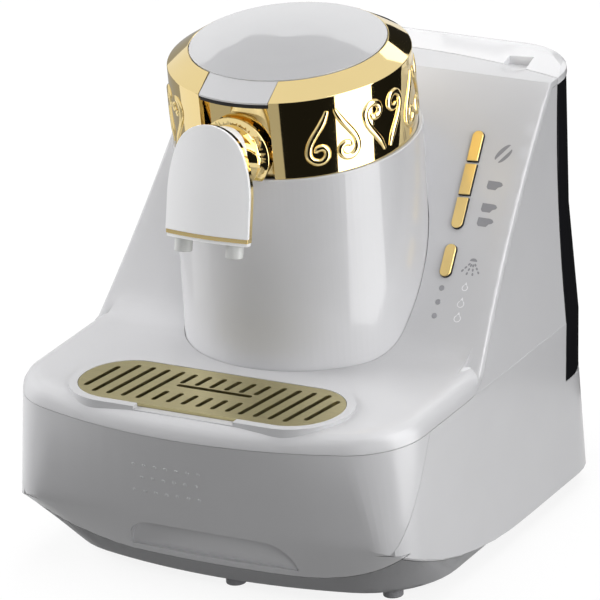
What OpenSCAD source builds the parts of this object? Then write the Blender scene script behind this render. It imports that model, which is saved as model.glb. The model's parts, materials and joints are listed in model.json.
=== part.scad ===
// Electric maker of Turkish coffee: a low base with a drawer, a sloping saddle cover that carries
// the keys, a round column with a tilted brewing head and pouring spout, and a leaning water tank.
// Millimetres, +Z up. The helpers below work from the head's axis; place() moves every node so
// that the origin lies under the middle of the whole, on the floor.

/* [Head] */
// Height of the head's turning ring above the floor, at its top edge
head_top = 255; // [245:1:275]
// Outer radius of the head ring
ring_r = 63; // [62:0.5:64]
// Height of the head ring
ring_h = 42.3; // [38:0.1:46]
// Wall of the head ring
ring_wall = 3.4; // [2.5:0.1:4]
// Forward tilt of the head, in degrees
head_tilt = 3.4; // [2:0.1:4.5]
// Height of the bevelled rim over the ring
bevel_h = 7.4; // [6:0.1:9]
// Radius at which the bevel ends and the lid begins
lid_r = 51.1; // [49:0.1:53]
// Half width of the lid's tongue, which crosses the bevel at the front
tongue_half = 19.8; // [17:0.1:21]
// Half angle of the ring's front opening, in degrees
mouth_half = 19.3; // [19:0.1:21]

/* [Column] */
// Outer radius of the column
column_r = 64.8; // [64:0.1:66]
// How far the column's axis lies behind the head's axis
column_back = 3.9; // [2:0.1:5]
// Wall of the column
column_wall = 2.5; // [2:0.1:3]

/* [Brewing pot] */
// Outer radius of the pot
pot_r = 50; // [46:0.5:52]
// Wall of the pot
pot_wall = 1.5; // [1:0.1:2]
// Depth of the pot below the head ring's top edge
pot_depth = 92; // [85:1:96]

/* [Spout] */
// Half width of the spout's shield
shield_half = 23.8; // [22:0.5:26]
// Height of the shield
shield_h = 56.2; // [53:0.1:60]
// Height of the shield's lower edge above the floor
shield_z = 191.7; // [188:0.1:195]
// Distance from the head's axis to the middle of the shield's front
shield_reach = 98; // [94:0.5:101]
// Radius of the shield's bowed front
shield_bow = 84; // [60:1:120]
// Radius of the shield's side arcs
shield_side_r = 70; // [66:1:80]
// Height of the shield's straight flanks
shield_spring = 18; // [12:1:20]
// Backward lean of the shield, in degrees
shield_lean = 12.3; // [8:0.1:14]
// Thickness of the shield and of the trim behind it
shield_t = 1.8; // [1.5:0.1:2.5]
// Half distance between the two nozzles
nozzle_half = 14.8; // [12:0.1:16]
// Outer radius of a nozzle
nozzle_r = 4.6; // [4:0.1:5]
// Radius of the arm's flange on the ring
flange_r = 19.6; // [17:0.1:20]

/* [Saddle cover] */
// Height of the cup platform above the floor
platform_z = 104.6; // [100:0.1:110]
// Radius of the platform's rolled edge, and its height over the seam
edge_roll = 9.9; // [8:0.1:11]
// Slope of the key face, in degrees
slope_deg = 46.9; // [44:0.1:50]
// Where the key face meets the platform, measured forwards from the head's axis
slope_foot = 19.8; // [16:0.1:24]
// Height of the flat top of the cover
tower_top = 221; // [215:1:226]
// Half width of the cover at its top
top_half = 103.3; // [101:0.1:106]
// Radius of the hollow sweep of the sides, seen from the front
side_sweep = 765; // [740:5:800]
// Wall of the cover and the side panels
wall = 3; // [2.5:0.1:3.5]
// Radius of the hollow fillet between key face and platform
foot_fillet = 35; // [28:1:42]

/* [Base] */
// Reach of the front seam before the head's axis
seam_front = 138; // [134:0.5:142]
// Radius of the bowed front at the seam, seen from above
front_bow = 277; // [240:1:320]
// Radius of the front corners at the seam
corner_r = 40; // [36:1:44]
// Half width of the seam outline
seam_half = 114.5; // [112:0.5:116]
// Reach of the crease before the head's axis
crease_front = 118; // [114:0.5:122]
// Height of the crease at the front
crease_z = 41; // [37:0.5:45]
// Half width at the crease
crease_half = 116; // [115:0.5:118]
// Half width of the base at its floor
floor_half = 109; // [106:0.5:111]
// Reach of the floor outline before the head's axis
floor_front = 104; // [100:0.5:108]
// Rear face of the base behind the head's axis
base_rear = 110; // [107:0.5:113]
// Radius of the rear corners
rear_corner_r = 35; // [30:1:38]
// Radius of the bowed front at the floor
floor_bow = 325; // [280:5:360]
// Radius of the front corners at the floor
floor_corner = 47; // [42:1:50]
// Radius of the almost straight front at the crease
crease_bow = 6000; // [3000:500:9000]
// Radius of the front corners at the crease
crease_corner = 19; // [14:1:26]
// Height of the crease along the rear of the sides
crease_low = 9; // [8.5:0.5:11]
// Where the crease starts to rise towards the front, behind the head's axis
crease_tail = 10; // [0:1:20]
// Height of the feet
foot_h = 5; // [4:0.5:7]
// Radius of the feet
foot_r = 5.3; // [4:0.1:7]

/* [Drip grille] */
// Half length of the grille
grille_half = 75; // [70:0.5:80]
// Radius of the grille's round ends
grille_r = 25.3; // [24:0.1:26]
// Distance of the grille's middle line before the head's axis
grille_front = 100.1; // [98:0.1:102]
// Width of the raised collar round the grille
collar_w = 4.6; // [3:0.1:6]
// Height of the collar above the platform
collar_h = 1.8; // [1:0.1:2.5]
// Half width of the finger notch in the collar
notch_half = 29; // [24:1:34]
// Thickness of the grille
grille_t = 2.4; // [2:0.1:3]
// Spacing of the slots
slot_pitch = 8.6; // [8:0.1:9]
// Width of the slots
slot_w = 3; // [2.4:0.1:3.6]
// Slant of the slots, in degrees
slot_slant = 9; // [0:1:12]

/* [Drawer] */
// Height of the drawer's lower edge at the middle
drawer_z = 14; // [12:0.5:18]
// Half length of the flat stretch of the lower edge
drawer_flat = 45; // [40:1:50]
// Half width of the handle recess
grip_half = 49; // [40:1:56]
// Height of the handle recess's upper edge
grip_top = 35; // [33:0.5:37]
// Half width of the drip tray
tray_half = 78; // [70:1:78]
// Height of the drip tray's floor above the floor
tray_z = 46; // [44:1:52]
// Depth of the drip tray
tray_h = 42; // [36:1:42]

/* [Water tank] */
// Lean of the tank, in degrees
tank_lean = 9; // [7:0.5:10]
// Height of the tank's floor
tank_z = 64; // [60:1:68]
// Where the middle of the tank's front face stands at the height of the cover's top
tank_front = 113.5; // [113:0.5:118]
// Depth of the tank at its middle
tank_depth = 20.5; // [16:0.5:20]
// Radius of the tank's bowed front face
tank_bow = 340; // [320:5:400]
// Wall of the tank
tank_wall = 2.2; // [1.8:0.1:2.8]
// Height of the domed tank lid
tank_lid_h = 8; // [6:0.5:9]

/* [Keys] */
// Width of the keys
key_w = 6.2; // [5:0.1:7]
// Distance of the lowest key's centre line from the middle
key_x = 77.4; // [72:0.1:80]
// Distance of the lowest key's lower end from the foot of the slope
key_start = 46.2; // [40:0.1:50]
// Lean of the row of keys, in degrees
key_lean = 3.6; // [0:0.1:5]
// Length of the single lower key
key_single = 18; // [15:0.5:20]
// Length of each key in the upper group
key_group = 17; // [14:0.5:18]
// Travel of a key
key_travel = 0.8; // [0.4:0.1:1]
// Radius of the status lights
light_r = 1.5; // [1:0.1:2]

/* [Fits] */
// Gap between neighbouring covers and moving pieces
gap = 0.3; // [0.2:0.05:0.5]
// Radial clearance of a pin or stem that turns or slides
running = 0.05; // [0.02:0.01:0.1]
// Radius of the hinge pins
pin_r = 1.2; // [1:0.1:1.4]

/* [Hidden] */
$fn = 96;

slice = 0.3;
far = 400;
mouth_gap = 0.4;
seam_z = platform_z - edge_roll;
floor_z = foot_h;
sweep_centre = top_half + side_sweep;
sweep_z = tower_top + 4;
slope_run = (tower_top - platform_z) / tan(slope_deg);
tank_base = tank_front - (tower_top - tank_z) * tan(tank_lean);
lid_base = tower_top - 3.4;
tank_top = lid_base - gap;
hinge_y = tank_front + tank_depth + 3;
hinge_z = lid_base + 1.6;
ear_r = 2.6;
shift_y = (seam_front - hinge_y - ear_r) / 2;
split_top = 80;
split_low = 113;
split_lean = atan((split_low - split_top) / (92 - 39));

// Half width of the outside at a height: the hollow sweep above the seam, nearly upright below
function half_at(z) = z > seam_z
    ? sweep_centre - sqrt(side_sweep * side_sweep - pow(sweep_z - z, 2))
    : seam_half + (crease_half - seam_half) * (seam_z - z) / (seam_z - crease_z);
function tank_y(z) = tank_base + (z - tank_z) * tan(tank_lean);
function arc_points(cx, cy, r, from, to, steps) =
    [for (i = [0:steps]) let (a = from + (to - from) * i / steps) [cx + r * cos(a), cy + r * sin(a)]];
function mirrored(points) = [for (i = [len(points) - 1:-1:0]) [-points[i].x, points[i].y]];

// One side of a plan outline from the middle of the front to the middle of the rear: a bowed front,
// a round corner, a straight flank of some points and a round rear corner, moved inwards by d
front_steps = 8;
corner_steps = 10;
flank_steps = 9;
rear_steps = 8;
function plan_right(reach, bow, half, corner, rear, d, flank = 1) =
    let (x = half - corner,
        y = bow - reach - sqrt(pow(bow - corner, 2) - x * x),
        turn = atan2(x, bow - reach - y))
    concat(
        arc_points(0, bow - reach, bow - d, turn / front_steps - 90, turn - 90, front_steps - 1),
        arc_points(x, y, corner - d, -90 + turn + (90 - turn) / corner_steps, 0, corner_steps - 1),
        [for (i = [1:1:flank - 1]) [half - d, y + (rear - rear_corner_r - y) * i / flank]],
        arc_points(half - rear_corner_r, rear - rear_corner_r, rear_corner_r - d, 0, 90, rear_steps));
function plan_outline(reach, bow, half, corner, rear, d) =
    let (side = plan_right(reach, bow, half, corner, rear, d)) concat(side, mirrored(side), [[0, d - reach]]);
function seam_outline(d) = plan_outline(seam_front, front_bow, seam_half, corner_r, base_rear, d);
function floor_outline(d) = plan_outline(floor_front, floor_bow, floor_half, floor_corner, base_rear - 2, d);

// The crease: level across the front, falling round the corner and along the sides
crease_fall = crease_z - 5 - crease_low;
side_drop_r = (pow(split_low - 5 + crease_tail, 2) + pow(crease_fall, 2)) / (2 * crease_fall);
function side_crease(y) = y > crease_tail ? crease_low
    : crease_low + side_drop_r - sqrt(side_drop_r * side_drop_r - pow(crease_tail - y, 2));
crease_corner_y = crease_corner - crease_front;
crease_corner_fall = crease_z - side_crease(crease_corner_y);
function crease_height(i, y) = i < front_steps ? crease_z
    : i < front_steps + corner_steps
        ? crease_z - crease_corner_fall * pow((i + 1 - front_steps) / corner_steps, 1.5)
    : side_crease(y);

module place() translate([0, shift_y, 0]) children();
module head() translate([0, 0, head_top]) rotate([head_tilt, 0, 0]) children();
module flat_at(z, points) translate([0, 0, z]) linear_extrude(slice) polygon(points);
module both() { children(); mirror([1, 0, 0]) children(); }
module along_x(half) translate([-half, 0, 0]) rotate([90, 0, 90]) linear_extrude(2 * half) children();
module along_y(from, to) translate([0, to, 0]) rotate([90, 0, 0]) linear_extrude(to - from) children();

// A ring of points all round from one of its sides, and a closed form through rings of equal count
function ring_of(side, reach) = concat(side,
    [for (i = [len(side) - 1:-1:0]) [-side[i].x, side[i].y, side[i].z]], [[0, -reach, side[0].z]]);
function at_height(points, z) = [for (p = points) [p.x, p.y, z]];
module loft(rings) {
    n = len(rings[0]);
    levels = len(rings);
    polyhedron(
        points = [for (ring = rings, p = ring) p],
        faces = concat(
            [[for (i = [0:n - 1]) i]],
            [for (k = [0:n:(levels - 2) * n], i = [0:n - 1]) [k + i, k + n + i, k + n + (i + 1) % n]],
            [for (k = [0:n:(levels - 2) * n], i = [0:n - 1]) [k + i, k + n + (i + 1) % n, k + (i + 1) % n]],
            [[for (i = [n - 1:-1:0]) (levels - 1) * n + i]]));
}
// The closed outer form of the base below the seam, moved inwards by d
module base_form(d) loft([
    ring_of(at_height(floor_side(d), floor_z + d), floor_front - d),
    ring_of(crease_side(d), crease_front - d),
    ring_of(at_height(seam_side(d), seam_z), seam_front - d)]);
function floor_side(d) =
    plan_right(floor_front, floor_bow, floor_half, floor_corner, base_rear - 2, d, flank_steps);
function seam_side(d) = plan_right(seam_front, front_bow, seam_half, corner_r, base_rear, d, flank_steps);
function crease_side(d) =
    let (side = plan_right(crease_front, crease_bow, crease_half, crease_corner, base_rear, d, flank_steps))
    [for (i = [0:len(side) - 1]) let (z = crease_height(i, side[i].y))
        [side[i].x + (i < front_steps ? 0 : half_at(z) - crease_half), side[i].y, z]];

// Everything below the drawer's lower edge, a flat stretch that sweeps up at both ends
sweep_rise = crease_z - 2 - drawer_z;
sweep_span = seam_half - drawer_flat;
lower_r = (sweep_span * sweep_span + sweep_rise * sweep_rise) / (2 * sweep_rise);
module above_drawer_line(d) along_y(-far, far) {
    translate([-drawer_flat, drawer_z + d]) square([2 * drawer_flat, far]);
    for (s = [-1, 1]) translate([s * drawer_flat, drawer_z + lower_r]) circle(r = lower_r - d, $fn = 180);
    translate([-far, crease_z]) square([2 * far, far]);
}
// The side panels wrap round the crease by a little
crease_wrap = 0.8;
module above_side_crease(d) along_x(far) {
    translate([crease_tail, crease_low - crease_wrap + d]) square([far, far]);
    translate([crease_tail, crease_low + side_drop_r])
        circle(r = side_drop_r + crease_wrap - d, $fn = 240);
    translate([-far, crease_z - 5 + d]) square([2 * far, far]);
}
// Everything before the slanted seam between drawer and side panels
module before_split(d) translate([0, -split_top - d, seam_z]) rotate([-split_lean, 0, 0])
    translate([-far, -far, -far]) cube([2 * far, far, 2 * far]);

// Side view of the cover: flat at height z0, hollow fillet, key face, flat top, lowered by d
module saddle_section(z0, d, fillet) {
    foot = -slope_foot + d * sin(slope_deg) - (platform_z - d * cos(slope_deg) - z0) / tan(slope_deg);
    touch = fillet * tan(slope_deg / 2);
    top = tower_top - d;
    polygon(concat([[-far, -far], [-far, z0]],
        arc_points(foot - touch, z0 + fillet, fillet, -90, slope_deg - 90, 8),
        [[foot + (top - z0) / tan(slope_deg), top], [far, top], [far, -far]]));
}
// Front view of the tower: hollow sides, moved inwards by d
tower_steps = 16;
front_low = seam_z - 20;
front_rise = tower_top + 4 - front_low;
function front_right(d) =
    [for (i = [0:tower_steps]) let (z = front_low + front_rise * i / tower_steps) [half_at(z) - d, z]];
module front_section(d) polygon(concat(front_right(d), mirrored(front_right(d))));
// The space behind the leaning bowed wall in which the tank stands
module before_tank(d) translate([0, tank_y(0) - tank_bow / cos(tank_lean), 0]) rotate([-tank_lean, 0, 0])
    translate([0, 0, -60]) cylinder(r = tank_bow - d, h = far, $fn = 360);
// The tower seen as one closed form
module tower_form(d, z0, fillet) intersection() {
    along_x(far) saddle_section(z0, d, fillet);
    along_y(-60, far) front_section(d);
    translate([-far, -60, seam_z - slice]) cube([2 * far, far, far]);
}
// The cup platform with its rolled edge
module platform_form(d) {
    r = edge_roll - d;
    intersection() {
        hull() for (a = [0:22.5:90])
            flat_at(seam_z + (r - slice) * sin(a), seam_outline(d + r * (1 - cos(a))));
        translate([-far, -far, 0]) cube([2 * far, far + 12, far]);
    }
}
// The fillet between platform and key face ends where the platform's edge rolls down
module foot_blend(d) intersection() {
    along_x(seam_half - edge_roll) saddle_section(platform_z - d, d, foot_fillet + d);
    translate([-far, -slope_foot - 20, platform_z - d - 1]) cube([2 * far, 45, 20]);
}
module upper_form(d) {
    tower_form(d, seam_z + 0.01, foot_fillet - edge_roll + d);
    platform_form(d);
    foot_blend(d);
}
module column_hole(r) translate([0, column_back, 0]) cylinder(r = r, h = far);

// ---- base ----
// What belongs to the drawer, and what to the side panels, grown by d
module drawer_zone(d) intersection() {
    above_drawer_line(-d);
    union() {
        before_split(-d);
        translate([-far, -far, -far]) cube([2 * far, far - split_top + 12, far + crease_z - 3 + d]);
    }
    translate([-far, -far, 0]) cube([2 * far, far, seam_z - gap + d]);
}
module side_zone(d) difference() {
    above_side_crease(-d);
    drawer_zone(gap - d);
    translate([-far, -far, -far]) cube([2 * far, far - split_low, 2 * far]);
}
module base_pan() place() color("#2a2a2c") difference() {
    union() {
        difference() {
            base_form(0);
            base_form(wall);
            drawer_zone(gap);
            side_zone(gap);
            translate([-far, -far, crease_z - 3]) cube([2 * far, 2 * far, far]);
        }
        translate([0, 0, floor_z]) linear_extrude(wall) polygon(floor_outline(wall + 1));
    }
    for (p = screw_places) translate([p.x, p.y, 0]) cylinder(r = screw_r + 2 * running, h = 20);
}
screw_r = 2.1;
foot_places = [[5, -96], [88, -80], [-84, -60], [-84, 84], [84, 84]];
rail_x = tray_half + 2.5;
screw_x = rail_x - 3.5;
screw_places = [[-screw_x, -60], [screw_x, -60], [-screw_x, 50], [screw_x, 50]];
module feet() place() color("#5a5a5c")
    for (p = foot_places) translate([p.x, p.y, 0]) cylinder(r = foot_r, h = foot_h);
module base_screws() place() color("#b8b8ba")
    for (p = screw_places) translate([p.x, p.y, floor_z]) cylinder(r = screw_r, h = wall + 6);

module side_shell() difference() {
    union() {
        base_form(0);
        tower_form(0, seam_z + 0.01, foot_fillet - edge_roll);
    }
    base_form(wall);
    tower_form(wall, seam_z - wall, foot_fillet - edge_roll + wall);
    translate([0, 0, seam_z - 1]) linear_extrude(2) polygon(seam_outline(wall));
}
module side_panel() intersection() {
    side_shell();
    side_zone(0);
    // under the cover's sheet
    along_x(far) saddle_section(seam_z - gap, wall + gap, foot_fillet - edge_roll + wall + gap);
    union() {
        before_tank(0.5);
        translate([0, 0, tank_z - far - gap]) cube(2 * far, center = true);
    }
    translate([rear_half, -far, 0]) cube([far, 2 * far, far]);
}
module side_panel_right() place() color("#dcdcde") side_panel();
module side_panel_left() place() color("#dcdcde") mirror([1, 0, 0]) side_panel();

// Half width of the rear cover between the side panels
rear_half = seam_half - rear_corner_r - 4.5;
module rear_cover() place() color("#dcdcde") difference() {
    intersection() {
        difference() { base_form(0); base_form(wall); }
        translate([gap - rear_half, base_rear / 2, crease_low])
            cube([2 * (rear_half - gap), far, tank_z - crease_low - gap]);
    }
    translate([inlet_x, base_rear + 1, inlet_z]) rotate([90, 0, 0]) cylinder(r = inlet_r, h = 10);
}
inlet_x = -52;
inlet_z = 26;
inlet_r = 7;
module power_inlet() place() color("#1c1c1e")
translate([inlet_x, base_rear, inlet_z]) rotate([90, 0, 0]) difference() {
    union() {
        translate([0, 0, -2.5]) cylinder(r = inlet_r + 3, h = 2.3);
        translate([0, 0, -1]) cylinder(r = inlet_r - running, h = wall + 5);
    }
    translate([0, 0, -3]) cylinder(r = 3.6, h = wall + 8);
}

// Inner frame: two runner walls for the drip tray, a deck that carries column and pot stand
deck_z = seam_z - 2;
deck_t = 3;
runner_z = tray_z + tray_h - 4;
runner_front = 100;
module chassis() place() color("#8c8c90") difference() {
    union() {
        both() {
            translate([rail_x, -74, floor_z + wall]) cube([wall, 134, deck_z - deck_t - floor_z - wall]);
            translate([rail_x, -runner_front, tray_z]) cube([wall, 30, deck_z - deck_t - tray_z]);
            translate([tray_half + running, -runner_front, runner_z - 2.5])
                cube([rail_x - tray_half, runner_front + 2, 2.5]);
        }
        translate([-rail_x - wall, -62, deck_z - deck_t]) cube([2 * rail_x + 2 * wall, 122, deck_t]);
        translate([-rail_x, 2, floor_z + wall]) cube([2 * rail_x, wall, deck_z - deck_t - floor_z - wall]);
        for (p = screw_places) translate([p.x, p.y, floor_z + wall]) cylinder(r = 5, h = 8);
    }
    for (p = screw_places) translate([p.x, p.y, 0]) cylinder(r = screw_r + running, h = 30);
    translate([0, column_back, deck_z - 10]) cylinder(r = 24, h = 20);
}

// ---- saddle cover ----
collar_top = platform_z + collar_h;
grille_z = collar_top - 0.2 - grille_t;
module stadium(half, r, h) linear_extrude(h) {
    for (s = [-1, 1]) translate([s * (half - r), -grille_front]) circle(r = r);
    translate([r - half, -grille_front - r]) square([2 * (half - r), 2 * r]);
}
module on_slope() translate([0, -slope_foot, platform_z]) rotate([slope_deg, 0, 0]) children();
module saddle_cover() place() color("#dcdcde") difference() {
    union() {
        difference() {
            upper_form(0);
            upper_void();
        }
        // collar round the grille
        translate([0, 0, platform_z - wall])
            stadium(grille_half + collar_w, grille_r + collar_w, wall + collar_h);
    }
    translate([0, 0, 1]) column_hole(column_r + gap);
    difference() {
        translate([-far, 0, 0]) cube([2 * far, far, far]);
        before_tank(0.5);
    }
    // grille seat, the opening under it and the finger notch in the collar
    translate([0, 0, grille_z]) stadium(grille_half, grille_r, 30);
    translate([0, 0, platform_z - 30]) stadium(grille_half - 4, grille_r - 4, 60);
    translate([-notch_half, -grille_front - grille_r - 8, platform_z]) cube([2 * notch_half, 12, 30]);
    on_slope() {
        for (k = [0:3]) key_hole(k);
        for (k = [0:2]) light_at(k) translate([0, 0, -10]) cylinder(r = light_r + running, h = 20);
    }
    // finger scoop before the tank lid
    translate([lid_notch_x + lid_notch_w / 2, tank_front - 11, tower_top + 14.6]) sphere(r = 16);
}
module upper_void() {
    platform_void();
    intersection() {
        along_x(far) saddle_section(seam_z, wall, foot_fillet - edge_roll + wall);
        along_y(-100, far) front_section(-5);
        translate([-far, -70, seam_z - 5]) cube([2 * far, far, far]);
    }
    foot_blend(wall);
}
module platform_void() intersection() {
    hull() {
        flat_at(seam_z - 1, seam_outline(wall));
        flat_at(seam_z + 2, seam_outline(wall + 0.2));
        flat_at(platform_z - wall - 2.5, seam_outline(wall + 2));
        flat_at(platform_z - wall, seam_outline(edge_roll));
    }
    translate([-far, -far, 0]) cube([2 * far, far + 12, far]);
}

// ---- keys ----
key_gap = 1.8;
key_flange = 1.2;
key_sheet = wall;
carrier_z = -11;
carrier_t = 3;
stem_r = 1.5;
function key_len(k) = k == 0 ? key_single : key_group;
function key_low(k) = k == 0 ? 0 : key_single + 9 + (k - 1) * (key_group + key_gap);
module key_frame() translate([key_x, key_start, 0]) rotate([0, 0, key_lean]) children();
// Outline of a key: the single one has two round ends, the group has round outer ends only
module key_outline(k, grow) {
    r = key_w / 2 + grow;
    low = key_low(k) + key_w / 2;
    high = key_low(k) + key_len(k) - key_w / 2;
    if (k < 2) translate([0, low]) circle(r = r);
    else translate([-r, key_low(k) - grow]) square([2 * r, key_w]);
    if (k == 0 || k == 3) translate([0, high]) circle(r = r);
    else translate([-r, high + key_w / 2 + grow - key_w]) square([2 * r, key_w]);
    translate([-r, low]) square([2 * r, high - low]);
}
module key_hole(k) key_frame() translate([0, 0, -20]) linear_extrude(40) key_outline(k, gap);
module key(k) on_slope() key_frame() {
    translate([0, 0, -key_sheet - 0.01]) linear_extrude(key_sheet + 0.6) key_outline(k, 0);
    translate([0, 0, -key_sheet - key_flange]) linear_extrude(key_flange) key_outline(k, 0.7);
    for (t = [0.25, 0.75]) translate([0, key_low(k) + t * key_len(k), carrier_z - 1])
        cylinder(r = stem_r, h = -carrier_z - key_sheet);
}
module key_rinse() place() color("#c9c9cb") key(0);
module key_two_cups() place() color("#c9c9cb") key(1);
module key_one_cup() place() color("#c9c9cb") key(2);
module key_beans() place() color("#c9c9cb") key(3);
module light_at(k) translate([key_x + k * 0.3, key_start - 6 - 7.7 * k, 0]) children();
module status_lights() place() color("#e8e8ea") on_slope()
    for (k = [0:2]) light_at(k) translate([0, 0, carrier_z + carrier_t])
        cylinder(r = light_r, h = 0.15 - carrier_z - carrier_t);
key_span = key_low(3) + key_len(3);
module key_carrier() place() color("#5c5c60") on_slope() difference() {
    union() {
        translate([key_x - 10.5, key_start - 30, carrier_z]) cube([22, key_span + 36, carrier_t]);
        for (x = [-10.5, 8.5], y = [-28, key_span + 2]) translate([key_x + x, key_start + y, carrier_z])
            cube([3, 3, -carrier_z - key_sheet]);
    }
    for (k = [0:3], t = [0.25, 0.75]) key_frame()
        translate([0, key_low(k) + t * key_len(k), carrier_z - 5]) cylinder(r = stem_r + running, h = 20);
}
board_t = 1.6;
board_z = carrier_z - 1 - key_travel - 0.4;
module control_board() place() color("#2f6b46") on_slope() {
    translate([key_x - 10.5, key_start - 30, board_z - board_t]) cube([22, key_span + 36, board_t]);
    for (x = [-8, 9], y = [-26, key_span + 2])
        translate([key_x + x, key_start + y, board_z]) cylinder(r = 2, h = carrier_z - board_z);
}

// ---- column and head ----
ring_low = -ring_h;
sleeve_r = ring_r - ring_wall - gap;
sleeve_top = -3.4;
pot_flange = 1.2;
rim_low = sleeve_top + pot_flange;
module below_head(z) head() translate([-far, -far, z - 2 * far]) cube([2 * far, 2 * far, 2 * far]);
module column_shell() place() color("#e4e4e6") intersection() {
    translate([0, column_back, deck_z]) difference() {
        cylinder(r = column_r, h = far);
        translate([0, 0, -1]) cylinder(r = column_r - column_wall, h = far + 2);
    }
    below_head(ring_low);
}
module strip(half, from, to) translate([-half, from, -far]) cube([2 * half, to - from, 2 * far]);
module mouth(a) translate([0, 0, ring_low - 1]) linear_extrude(ring_h + 10)
    polygon([[0, 0], [-far * tan(a), -far], [far * tan(a), -far]]);
module ring_band() place() color("#c9a227") head() difference() {
    translate([0, 0, ring_low]) cylinder(r = ring_r, h = ring_h + sleeve_top);
    translate([0, 0, ring_low - 1]) cylinder(r = ring_r - ring_wall, h = ring_h + 10);
    mouth(mouth_half);
}
// Half of the section of the bevelled rim
module bevel_section() polygon([[lid_r + 0.2, bevel_h - 0.1], [ring_r, 0], [ring_r, sleeve_top],
    [sleeve_r, sleeve_top], [sleeve_r, rim_low], [lid_r + 0.2, rim_low]]);
hinge_head_y = ring_r - 3.6;
hinge_head_z = 0.2;
knuckle_r = 2;
knuckle_half = 9;
module ring_bevel() place() color("#c9a227") head() difference() {
    rotate_extrude() bevel_section();
    strip(tongue_half + mouth_gap, -far, 0);
    translate([0, 0, far + rim_low + 0.1]) strip(knuckle_half + mouth_gap, 0, far);
    translate([-knuckle_half - 4.2, hinge_head_y, hinge_head_z]) rotate([0, 90, 0])
        cylinder(r = pin_r, h = 2 * knuckle_half + 8.4);
}
module head_hinge_pin() place() color("#b8b8ba") head()
    translate([-knuckle_half - 4, hinge_head_y, hinge_head_z]) rotate([0, 90, 0])
        cylinder(r = pin_r, h = 2 * knuckle_half + 8);
lid_low = 4.4;
lip_top = -0.9;
seal_low = -5;
module head_lid() place() color("#d4d4d6") head() difference() {
    union() {
        // the edge is relieved below, so that its rear end swings clear of the rim
        rotate_extrude() polygon([[0, lid_low], [lid_r - 1.8, lid_low], [lid_r - 1.1, lid_low + 1.2],
            [lid_r - 0.1, bevel_h - 0.5], [lid_r - 0.1, bevel_h], [lid_r - 12, bevel_h + 0.7],
            [lid_r / 2, bevel_h + 1.1], [0, bevel_h + 1.3]]);
        // the tongue crosses the bevel at the front
        intersection() {
            rotate_extrude() polygon([[lid_r - 3, lid_low], [lid_r - 3, bevel_h], [lid_r - 1.1, bevel_h + 0.02],
                [ring_r, 0], [ring_r, lip_top], [ring_r - 4, lip_top]]);
            strip(tongue_half, -far, 0);
        }
        // the tab that runs back to the hinge
        intersection() {
            rotate_extrude() polygon([[lid_r - 3, lid_low], [lid_r - 3, bevel_h], [lid_r - 1.1, bevel_h + 0.02],
                [hinge_head_y + 0.6, 1.75], [hinge_head_y - 2.5, 1.2]]);
            strip(knuckle_half, 0, far);
        }
        translate([-knuckle_half, hinge_head_y, hinge_head_z]) rotate([0, 90, 0])
            cylinder(r = knuckle_r, h = 2 * knuckle_half);
    }
    translate([-far, hinge_head_y, hinge_head_z]) rotate([0, 90, 0])
        cylinder(r = pin_r + running, h = 2 * far);
}
module lid_seal() place() color("#1c1c1e") head() translate([0, 0, seal_low]) difference() {
    cylinder(r = pot_r - pot_wall - gap, h = lid_low - seal_low);
    translate([0, 0, -1]) cylinder(r = pot_r - pot_wall - gap - 4, h = far);
}
module lip_gasket() place() color("#1c1c1e") head() intersection() {
    rotate_extrude() polygon([[ring_r - 4, lip_top], [ring_r - 0.4, lip_top], [ring_r - 0.4, lip_top - 2.3],
        [ring_r - 2.6, lip_top - 2.3], [ring_r - 4, lip_top - 0.3]]);
    strip(tongue_half - 0.3, -far, 0);
}
module ring_sleeve() place() color("#c9a227") head() difference() {
    translate([0, 0, ring_low]) cylinder(r = sleeve_r, h = ring_h + sleeve_top);
    translate([0, 0, ring_low - 1]) cylinder(r = sleeve_r - 2, h = ring_h + 10);
    arm_bore(arm_boss_r + 0.05);
}
plate_t = 4;
coil_r = 3.5;
module brew_pot() place() color("#b9bbbd") difference() {
    head() difference() {
        union() {
            translate([0, 0, -pot_depth]) cylinder(r = pot_r, h = pot_depth + sleeve_top);
            translate([0, 0, sleeve_top]) cylinder(r = sleeve_r - gap, h = pot_flange);
        }
        translate([0, 0, pot_wall - pot_depth]) cylinder(r = pot_r - pot_wall, h = far);
    }
    head() arm_bore(arm_tube_r + running);
}
module heater_plate() place() color("#8f9194") head()
    translate([0, 0, -pot_depth - plate_t]) cylinder(r = pot_r - 4, h = plate_t);
module heater_coil() place() color("#6f7174") head()
    rotate_extrude() translate([pot_r - 20, -pot_depth - plate_t - coil_r]) circle(r = coil_r);
module pot_stand() place() color("#5c5c60") difference() {
    translate([0, column_back, deck_z]) cylinder(r = pot_r - 6, h = far);
    translate([0, column_back, deck_z - 1]) cylinder(r = pot_r - 9, h = far);
    head() translate([-far, -far, -pot_depth - plate_t]) cube(2 * far);
    for (a = [45:90:315]) translate([0, column_back, deck_z + 26]) rotate([0, 90, a])
        cylinder(r = 12, h = far);
}

// ---- spout ----
arm_boss_r = 10;
arm_tube_r = 7;
arm_bore_r = 5;
arm_z = 222;
arm_rise = 19;
arm_tip_r = 11.5;
flange_y = sleeve_r + 0.3;
module arm_axis() translate([0, -sleeve_r, arm_z]) rotate([90, 0, 0]) children();
// A level bore through ring and pot, written in the head's tilted frame
module arm_bore(r) rotate([-head_tilt, 0, 0]) translate([0, 0, arm_z - head_top])
    rotate([90, 0, 0]) cylinder(r = r, h = far);
module spout_frame() translate([0, -shield_reach, shield_z]) rotate([-shield_lean, 0, 0]) children();
shield_top_r = (pow(shield_side_r, 2) - pow(shield_side_r - shield_half, 2) - pow(shield_h - shield_spring, 2))
    / (2 * (shield_side_r - (shield_h - shield_spring)));
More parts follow.
